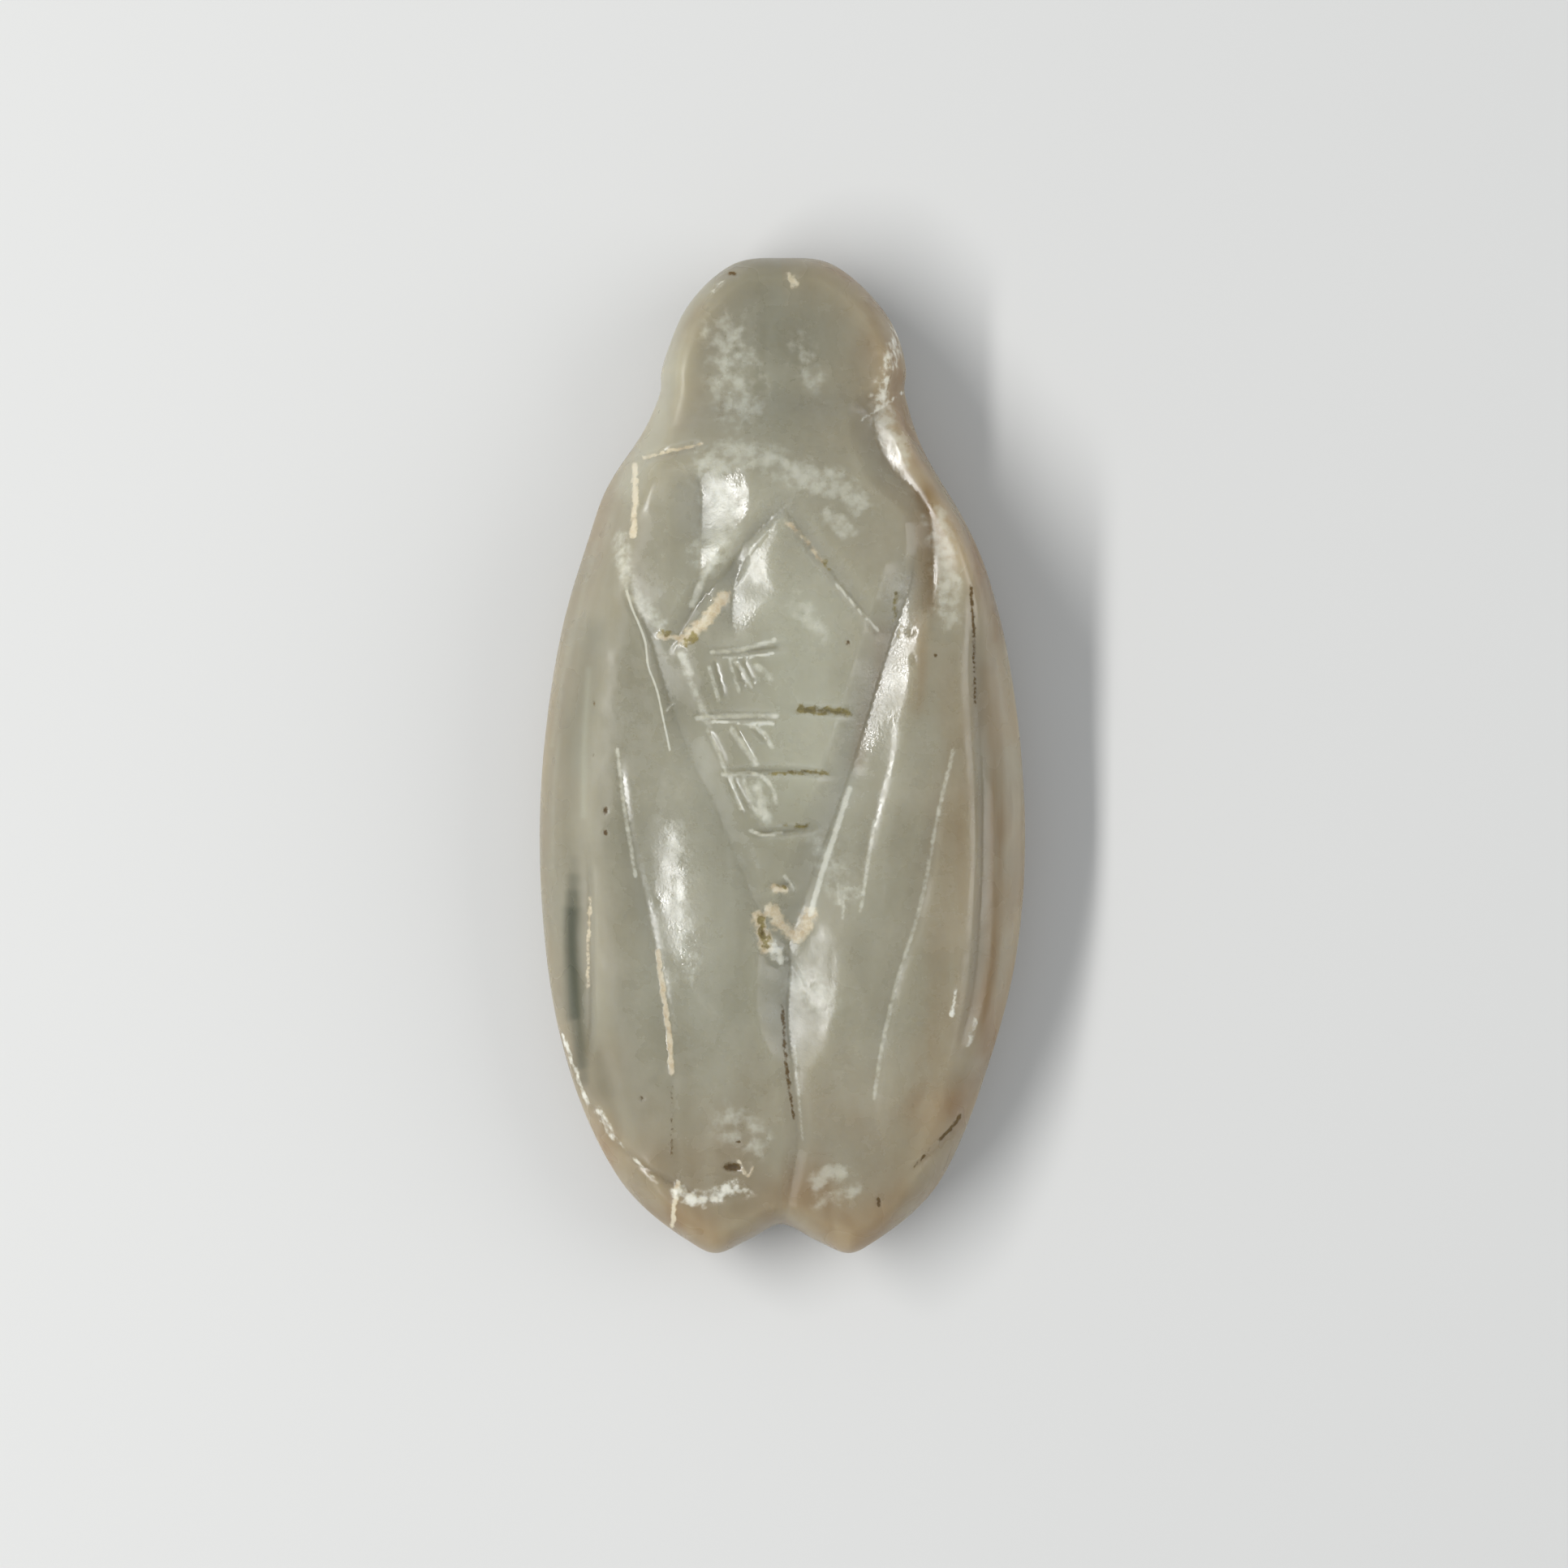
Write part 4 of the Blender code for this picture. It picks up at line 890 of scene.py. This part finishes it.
def sheet(ring, points):
    """Triangles between the points and inside the ring: the plan, and its faces."""
    edges = [(i, (i + 1) % len(ring)) for i in range(len(ring))]
    plan, _, faces, source, _, _ = delaunay_2d_cdt([Vector(p) for p in points], edges, [], 1, SAME_POINT)
    on_rim = [min(ids) if ids and min(ids) < len(ring) else -1 for ids in source]
    return np.array([tuple(v) for v in plan]), np.array(faces), np.array(on_rim)


outline_length = np.linalg.norm(RING - np.roll(RING, 1, axis=0), axis=1).sum()
rim = outline_ring(round(outline_length / EDGE_STEP))
rim_insets = [RIM_ROUND * (1 - math.cos(math.radians(a))) for a in BACK_INSET_ANGLES]
back_rows = list(inset_rows(rim, rim_insets))
for cut in (*shaping_cuts, *line_cuts):
    back_rows.extend(cut_rows(cut, CUT_STEP))
belly_insets = [BELLY_ROUND * (1 - math.cos(math.radians(a))) for a in BELLY_INSET_ANGLES]
belly_rows = list(inset_rows(rim, belly_insets))
for cut in belly_cuts:
    belly_rows.extend(cut_rows(cut, BELLY_STEP / 2, BELLY_LANES))

vertices = [np.column_stack([rim, np.full(len(rim), RIM_HEIGHT)])]
triangles = []
for rows, step, height, order in (
    (back_rows, BACK_STEP, back_height, 1),
    (belly_rows, BELLY_STEP, belly_height, -1),
):
    plan, faces, on_rim = sheet(rim, plan_points(rim, rows, step))
    inner = np.flatnonzero(on_rim < 0)
    number = on_rim.copy()
    number[inner] = sum(len(v) for v in vertices) + np.arange(len(inner))
    vertices.append(np.column_stack([plan[inner], height(plan[inner])]))
    triangles.append(number[faces][:, ::order])
back_count = len(vertices[1])
vertices = np.vstack(vertices)
triangles = np.vstack(triangles)
stone_mesh = bpy.data.meshes.new("carved_cicada")
stone_mesh.from_pydata(vertices.tolist(), [], triangles.tolist())
stone_mesh.validate()
stone_mesh.shade_smooth()
stone = bpy.data.objects.new("carved_cicada", stone_mesh)
bpy.context.scene.collection.objects.link(stone)

places = vertices[:, :2]
facing_up = np.zeros(len(vertices))
facing_up[: len(rim) + back_count] = 1.0
edge_gap = np.abs(measure(RING, places, closed=True)[0])
for name, marks in (
    ("soil", SOIL),
    ("frost_and_highlight", FROST_AND_HIGHLIGHTS),
    ("stain", STAINS),
    ("dark_spot", DARK_SPOTS),
    ("lime_and_glint", LIME_AND_GLINTS),
    ("bruise_and_highlight", BRUISES_AND_HIGHLIGHTS),
    ("brown_band_and_shade", BANDS_AND_SHADE),
    ("worn_and_shaded", WORN_EDGES_AND_SHADE),
    ("ground", GROUND),
    ("grey_band_and_shade", GREY_BANDS_AND_SHADE),
    ("veil_and_highlight", VEILS_AND_HIGHLIGHTS),
):
    cover = streaks(places, marks) * facing_up
    stone_mesh.attributes.new(name, "FLOAT", "POINT").data.foreach_set("value", cover)
EDGE_REACH = 0.0014
WARM_REACH = 0.0024
LEFT_WARMTH = 0.55
RIGHT_WARMTH = 0.22
TAIL_WARMTH = 0.52
TAIL_PLACE = 0.26
TAIL_REACH = 0.20
# The stone is paler and warmer where it is thin: near the edge, down the right side, at the tail
rightness = places[:, 0] / (WIDTH / 2)
warmth = np.exp(-edge_gap / WARM_REACH) * np.where(rightness < 0, LEFT_WARMTH, 1.0)
warmth += RIGHT_WARMTH * np.clip(rightness, 0, 1)
warmth += TAIL_WARMTH * np.clip(-places[:, 1] / LENGTH - TAIL_PLACE, 0, TAIL_REACH) / TAIL_REACH
at_edge = np.exp(-edge_gap / EDGE_REACH)
stone_mesh.attributes.new("edge", "FLOAT", "POINT").data.foreach_set("value", at_edge)
stone_mesh.attributes.new("warmth", "FLOAT", "POINT").data.foreach_set("value", np.clip(warmth, 0, 1))

# The chalcedony.
# Cloudy quartz with light going a few millimetres into it: cool grey-green at heart, buff where it
# is thin, with drifting milky clouds, and a hand polish broken by fine scratches and dull spots.
stone_material = bpy.data.materials.new("chalcedony")
stone_material.use_nodes = True
nodes = stone_material.node_tree.nodes
shader = nodes["Principled BSDF"]
shader.inputs["IOR"].default_value = 1.54
shader.inputs["Subsurface Weight"].default_value = 1.0
shader.inputs["Subsurface Radius"].default_value = (1.0, 0.90, 0.70)
shader.inputs["Subsurface Scale"].default_value = 0.0045
shader.inputs["Subsurface Anisotropy"].default_value = 0.3


def linear(screen):
    """A screen colour, each part 0 to 255, as linear light."""
    parts = [c / 255 for c in screen]
    return (*(p / 12.92 if p < 0.04 else ((p + 0.055) / 1.055) ** 2.4 for p in parts), 1.0)


def feed(socket, value):
    """Link a socket or set a plain value."""
    if isinstance(value, bpy.types.NodeSocket):
        value.id_data.links.new(value, socket)
    else:
        socket.default_value = value


def grain(tree, size, detail=3.0, roughness=0.5, stretch=(1, 1, 1), bend=0.0):
    """Noise from 0 to 1 whose features are about that many metres across."""
    where = tree.nodes.new("ShaderNodeTexCoord").outputs["Object"]
    place = tree.nodes.new("ShaderNodeMapping")
    feed(place.inputs["Vector"], where)
    feed(place.inputs["Scale"], stretch)
    noise = tree.nodes.new("ShaderNodeTexNoise")
    feed(noise.inputs["Vector"], place.outputs[0])
    feed(noise.inputs["Scale"], 1 / size)
    feed(noise.inputs["Detail"], detail)
    feed(noise.inputs["Roughness"], roughness)
    feed(noise.inputs["Distortion"], bend)
    return noise.outputs["Fac"]


def spread(tree, value, low, high, to_low=0.0, to_high=1.0):
    """A value stretched from one range onto another, smooth at both ends."""
    step = tree.nodes.new("ShaderNodeMapRange")
    step.interpolation_type = "SMOOTHSTEP"
    for socket, number in zip(step.inputs, (value, low, high, to_low, to_high)):
        feed(socket, number)
    return step.outputs[0]


def maths(tree, operation, first, second=0.0, third=0.0):
    """One math node."""
    node = tree.nodes.new("ShaderNodeMath")
    node.operation = operation
    for socket, number in zip(node.inputs, (first, second, third)):
        feed(socket, number)
    return node.outputs[0]


def mixed(tree, amount, first, second):
    """One colour laid over another."""
    node = tree.nodes.new("ShaderNodeMix")
    node.data_type = "RGBA"
    feed(node.inputs[0], amount)
    feed(node.inputs[6], first)
    feed(node.inputs[7], second)
    return node.outputs[2]


def painted(tree, name):
    """A cover that the mesh carries at its points."""
    node = tree.nodes.new("ShaderNodeAttribute")
    node.attribute_name = name
    return node.outputs["Fac"]


# Deposits, and the painted highlights laid like them, have ragged edges: a soft cover, broken up by grain
# of its own size
CRUMB_DETAIL = 4.0
FAINTEST_COVER = 0.08
SURE_COVER = 0.35
ragged_cover = bpy.data.node_groups.new("ragged_cover", "ShaderNodeTree")
for name in ("Cover", "Grain Scale", "Raggedness", "Edge", "Softness"):
    ragged_cover.interface.new_socket(name, in_out="INPUT", socket_type="NodeSocketFloat")
ragged_cover.interface.new_socket("Amount", in_out="OUTPUT", socket_type="NodeSocketFloat")
entry = ragged_cover.nodes.new("NodeGroupInput")
leave = ragged_cover.nodes.new("NodeGroupOutput")
place = ragged_cover.nodes.new("ShaderNodeTexCoord").outputs["Object"]
noise = ragged_cover.nodes.new("ShaderNodeTexNoise")
feed(noise.inputs["Vector"], place)
feed(noise.inputs["Scale"], entry.outputs["Grain Scale"])
feed(noise.inputs["Detail"], CRUMB_DETAIL)
centred = maths(ragged_cover, "SUBTRACT", noise.outputs["Fac"], 0.5)
uneven = maths(ragged_cover, "MULTIPLY_ADD", centred, entry.outputs["Raggedness"], entry.outputs["Cover"])
edge_low = maths(ragged_cover, "SUBTRACT", entry.outputs["Edge"], entry.outputs["Softness"])
edge_high = maths(ragged_cover, "ADD", entry.outputs["Edge"], entry.outputs["Softness"])
ragged = spread(ragged_cover, uneven, edge_low, edge_high)
some = spread(ragged_cover, entry.outputs["Cover"], FAINTEST_COVER, SURE_COVER)
feed(leave.inputs["Amount"], maths(ragged_cover, "MULTIPLY", ragged, some))


def laid(tree, name, grain_scale, raggedness, edge, softness):
    """The ragged amount of one deposit, or of a painted highlight laid like one."""
    node = tree.nodes.new("ShaderNodeGroup")
    node.node_tree = ragged_cover
    for socket, value in zip(node.inputs, (painted(tree, name), grain_scale, raggedness, edge, softness)):
        feed(socket, value)
    return node.outputs["Amount"]


COOL_HEART = (138, 135, 117)
PALE_HEART = (152, 149, 132)
MILKY_WISP = (172, 171, 157)
HEART_SPECK = (118, 110, 88)
BUFF_RIM = (142, 117, 84)
PALE_RIM = (159, 141, 113)
# Each tint laid by place: its cover on the mesh, how much of it at most, and its colour; some are painted
# light, as noted where they are laid
TINTS = (
    ("veil_and_highlight", 0.42, (184, 184, 166)),
    ("worn_and_shaded", 0.25, (118, 114, 98)),
    ("brown_band_and_shade", 0.75, (128, 98, 50)),
    ("grey_band_and_shade", 0.92, (64, 67, 50)),
)
# Each deposit, painted highlights among them: grain scale, raggedness, edge, softness, how much
# of it at most, and its two tones, which are alike where it is one even colour
DEPOSITS_AND_HIGHLIGHTS = {
    "bruise_and_highlight": (1700.0, 2.0, 0.58, 0.45, 0.46, (202, 202, 190), (202, 202, 190)),
    "soil": (2600.0, 1.4, 0.50, 0.25, 0.85, (198, 189, 166), (178, 160, 130)),
    "lime_and_glint": (1900.0, 1.8, 0.55, 0.30, 0.80, (214, 213, 202), (214, 213, 202)),
    "frost_and_highlight": (2600.0, 0.9, 0.40, 0.35, 0.70, (206, 205, 192), (206, 205, 192)),
    "stain": (2600.0, 3.0, 0.50, 0.30, 0.85, (134, 122, 64), (96, 84, 28)),
    "dark_spot": (3500.0, 1.4, 0.42, 0.22, 0.95, (88, 66, 6), (88, 66, 6)),
}
tree = stone_material.node_tree
EDGE_FADE = 0.45
WISP_SHARE = 0.30
SPECKLE_SHARE = 0.04
clouds = spread(tree, grain(tree, 0.0070, detail=1.5, bend=0.4), 0.25, 0.75)
wisps = spread(tree, grain(tree, 0.0030, detail=2.5, stretch=(1.0, 0.30, 1.0), bend=0.8), 0.35, 0.75)
inside = spread(tree, painted(tree, "edge"), 0.0, EDGE_FADE, to_low=1.0, to_high=0.0)
specks = spread(tree, grain(tree, 0.00045, roughness=0.7), 0.30, 0.75)
speckle = maths(tree, "MULTIPLY", inside, specks)
heart = mixed(tree, clouds, linear(COOL_HEART), linear(PALE_HEART))
heart = mixed(tree, maths(tree, "MULTIPLY", wisps, WISP_SHARE), heart, linear(MILKY_WISP))
heart = mixed(tree, maths(tree, "MULTIPLY", speckle, SPECKLE_SHARE), heart, linear(HEART_SPECK))
uneven_warmth = spread(tree, grain(tree, 0.0050, detail=1.5), 0.3, 0.7, to_low=0.5)
warm_clouds = maths(tree, "MULTIPLY", painted(tree, "warmth"), uneven_warmth)
drift = grain(tree, 0.0026, detail=2.0, roughness=0.55, stretch=(1.0, 0.45, 1.0), bend=0.9)
rim_veils = spread(tree, drift, 0.32, 0.68)
rim_tone = mixed(tree, rim_veils, linear(BUFF_RIM), linear(PALE_RIM))
body = mixed(tree, warm_clouds, heart, rim_tone)
streaky = spread(tree, grain(tree, 0.0011, stretch=(1.0, 0.10, 1.0)), 0.35, 0.65, to_low=0.35)
for name, share, tone in TINTS:
    cover = painted(tree, name)
    if name == "brown_band_and_shade":
        cover = maths(tree, "MULTIPLY", cover, streaky)
    body = mixed(tree, maths(tree, "MULTIPLY", cover, share), body, linear(tone))
amounts = {}
for name, (*form, share, tone, deep_tone) in DEPOSITS_AND_HIGHLIGHTS.items():
    amounts[name] = laid(tree, name, *form)
    tone = mixed(tree, speckle, linear(tone), linear(deep_tone))
    body = mixed(tree, maths(tree, "MULTIPLY", amounts[name], share), body, tone)
feed(shader.inputs["Base Color"], body)
# The wheel's own flats still have a glaze, and crusts are matt
GLAZE = 0.40
CRUST_DULLNESS = 0.75
BRUISE_DULLNESS = 0.08
WORN_DULLNESS = 0.42
feed(shader.inputs["Coat Weight"], maths(tree, "MULTIPLY", painted(tree, "ground"), GLAZE))
shader.inputs["Coat Roughness"].default_value = 0.24
shader.inputs["Coat IOR"].default_value = 1.6
dulled = amounts["soil"]
for name in ("lime_and_glint", "stain", "dark_spot"):
    dulled = maths(tree, "MAXIMUM", dulled, amounts[name])
fine_polish = grain(tree, 0.0012, detail=4.0, roughness=0.65)
fine_polish = spread(tree, fine_polish, 0.25, 0.80, to_low=-0.12, to_high=0.14)
broad_polish = spread(tree, grain(tree, 0.0024, detail=1.5), 0.3, 0.7, to_low=0.20, to_high=0.36)
polish = maths(tree, "MULTIPLY_ADD", inside, fine_polish, broad_polish)
polish = maths(tree, "MULTIPLY_ADD", amounts["bruise_and_highlight"], BRUISE_DULLNESS, polish)
polish = maths(tree, "MULTIPLY_ADD", painted(tree, "worn_and_shaded"), WORN_DULLNESS, polish)
matt = maths(tree, "MULTIPLY", dulled, CRUST_DULLNESS)
feed(shader.inputs["Roughness"], maths(tree, "MAXIMUM", polish, matt))
# Heights in metres, too fine for the mesh
ORANGE_PEEL_HEIGHT = 0.000022
SCRATCH_HEIGHT = 0.0000045
WHEEL_GRAIN_HEIGHT = 0.000042
SWELL_HEIGHT = 0.000060
CRUMB_HEIGHT = 0.000030
scratches = grain(tree, 0.00030, detail=2.0, roughness=0.6, stretch=(1.0, 0.25, 1.0), bend=0.3)
orange_peel = grain(tree, 0.00085)
wheel_grain = grain(tree, 0.00020, detail=2.0, roughness=0.6)
wheel_grain = maths(tree, "MULTIPLY", painted(tree, "ground"), wheel_grain)
swell = grain(tree, 0.0022, detail=1.0, roughness=0.4, stretch=(1.0, 0.6, 1.0))
crumbs = grain(tree, 0.00018, detail=2.0, roughness=0.6)
crumbs = maths(tree, "MULTIPLY", dulled, crumbs)
skin = maths(tree, "MULTIPLY", scratches, SCRATCH_HEIGHT)
skin = maths(tree, "MULTIPLY_ADD", orange_peel, ORANGE_PEEL_HEIGHT, skin)
skin = maths(tree, "MULTIPLY_ADD", wheel_grain, WHEEL_GRAIN_HEIGHT, skin)
skin = maths(tree, "MULTIPLY", skin, inside)
skin = maths(tree, "MULTIPLY_ADD", swell, SWELL_HEIGHT, skin)
skin = maths(tree, "MULTIPLY_ADD", crumbs, CRUMB_HEIGHT, skin)
bump = nodes.new("ShaderNodeBump")
feed(bump.inputs["Height"], skin)
bump.inputs["Distance"].default_value = 1.0
feed(shader.inputs["Normal"], bump.outputs["Normal"])
stone_mesh.materials.append(stone_material)
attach(stone, "root")
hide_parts("cicada")

# The table.
# A plain pale floor under the amulet, which isn't part of it.
FLOOR_SIZE = 2.0
floor_mesh = bpy.data.meshes.new("floor")
corners = [(x * FLOOR_SIZE / 2, y * FLOOR_SIZE / 2, 0.0) for x, y in ((-1, -1), (1, -1), (1, 1), (-1, 1))]
floor_mesh.from_pydata(corners, [], [(0, 1, 2, 3)])
floor = bpy.data.objects.new("floor", floor_mesh)
bpy.context.scene.collection.objects.link(floor)
floor_material = bpy.data.materials.new("pale_floor")
floor_material.use_nodes = True
shader = floor_material.node_tree.nodes["Principled BSDF"]
shader.inputs["Base Color"].default_value = (0.56, 0.555, 0.54, 1.0)
shader.inputs["Roughness"].default_value = 0.9
shader.inputs["Specular IOR Level"].default_value = 0.2
floor_mesh.materials.append(floor_material)

# The light.
# A long narrow softbox to the left, as long as the amulet is tall in the frame, which draws the
# bright lines down every flank that faces it. A weaker one fills from the right.
aim = Vector((0.0, 0.0, THICKNESS / 2))


def softbox(name, off_vertical, bearing, distance, level_side, other_side, power):
    """A rectangular light aimed at the amulet: angle off the vertical, and bearing from +X."""
    lamp = bpy.data.lights.new(name, "AREA")
    lamp.shape = "RECTANGLE"
    lamp.size = level_side
    lamp.size_y = other_side
    lamp.energy = power
    tilt, turn = math.radians(off_vertical), math.radians(bearing)
    away = Vector((math.sin(tilt) * math.cos(turn), math.sin(tilt) * math.sin(turn), math.cos(tilt)))
    holder = bpy.data.objects.new(name, lamp)
    holder.location = aim + away * distance
    holder.rotation_euler = away.to_track_quat("Z", "Y").to_euler()
    bpy.context.scene.collection.objects.link(holder)
    return holder


softbox("key_light", 42, 180, distance=0.45, level_side=0.56, other_side=0.042, power=2.45)
softbox("fill_light", 58, 8, distance=0.60, level_side=0.50, other_side=0.40, power=1.3)
world = bpy.data.worlds.new("studio")
world.use_nodes = True
world.node_tree.nodes["Background"].inputs["Color"].default_value = (0.90, 0.95, 1.0, 1.0)
world.node_tree.nodes["Background"].inputs["Strength"].default_value = 0.49
bpy.context.scene.world = world
bpy.context.scene.view_settings.view_transform = "Standard"

# The camera.
# It looks straight down on the lying amulet, head up, framed as in the photograph.
PHOTO_SIZE = 1932
PHOTO_MIDDLE = (964, 931)
PHOTO_LENGTH = 1226
LENS = 180
SENSOR_WIDTH = 36
camera_data = bpy.data.cameras.new("camera")
camera_data.lens = LENS
camera_data.sensor_width = SENSOR_WIDTH
camera = bpy.data.objects.new("camera", camera_data)
pixel = LENGTH / PHOTO_LENGTH
distance = PHOTO_SIZE * pixel * LENS / SENSOR_WIDTH
camera.location = (
    (PHOTO_SIZE / 2 - PHOTO_MIDDLE[0]) * pixel,
    (PHOTO_MIDDLE[1] - PHOTO_SIZE / 2) * pixel,
    RIM_HEIGHT + distance,
)
camera_data.clip_start = 0.01
camera_data.clip_end = 10
bpy.context.scene.collection.objects.link(camera)
bpy.context.scene.camera = camera
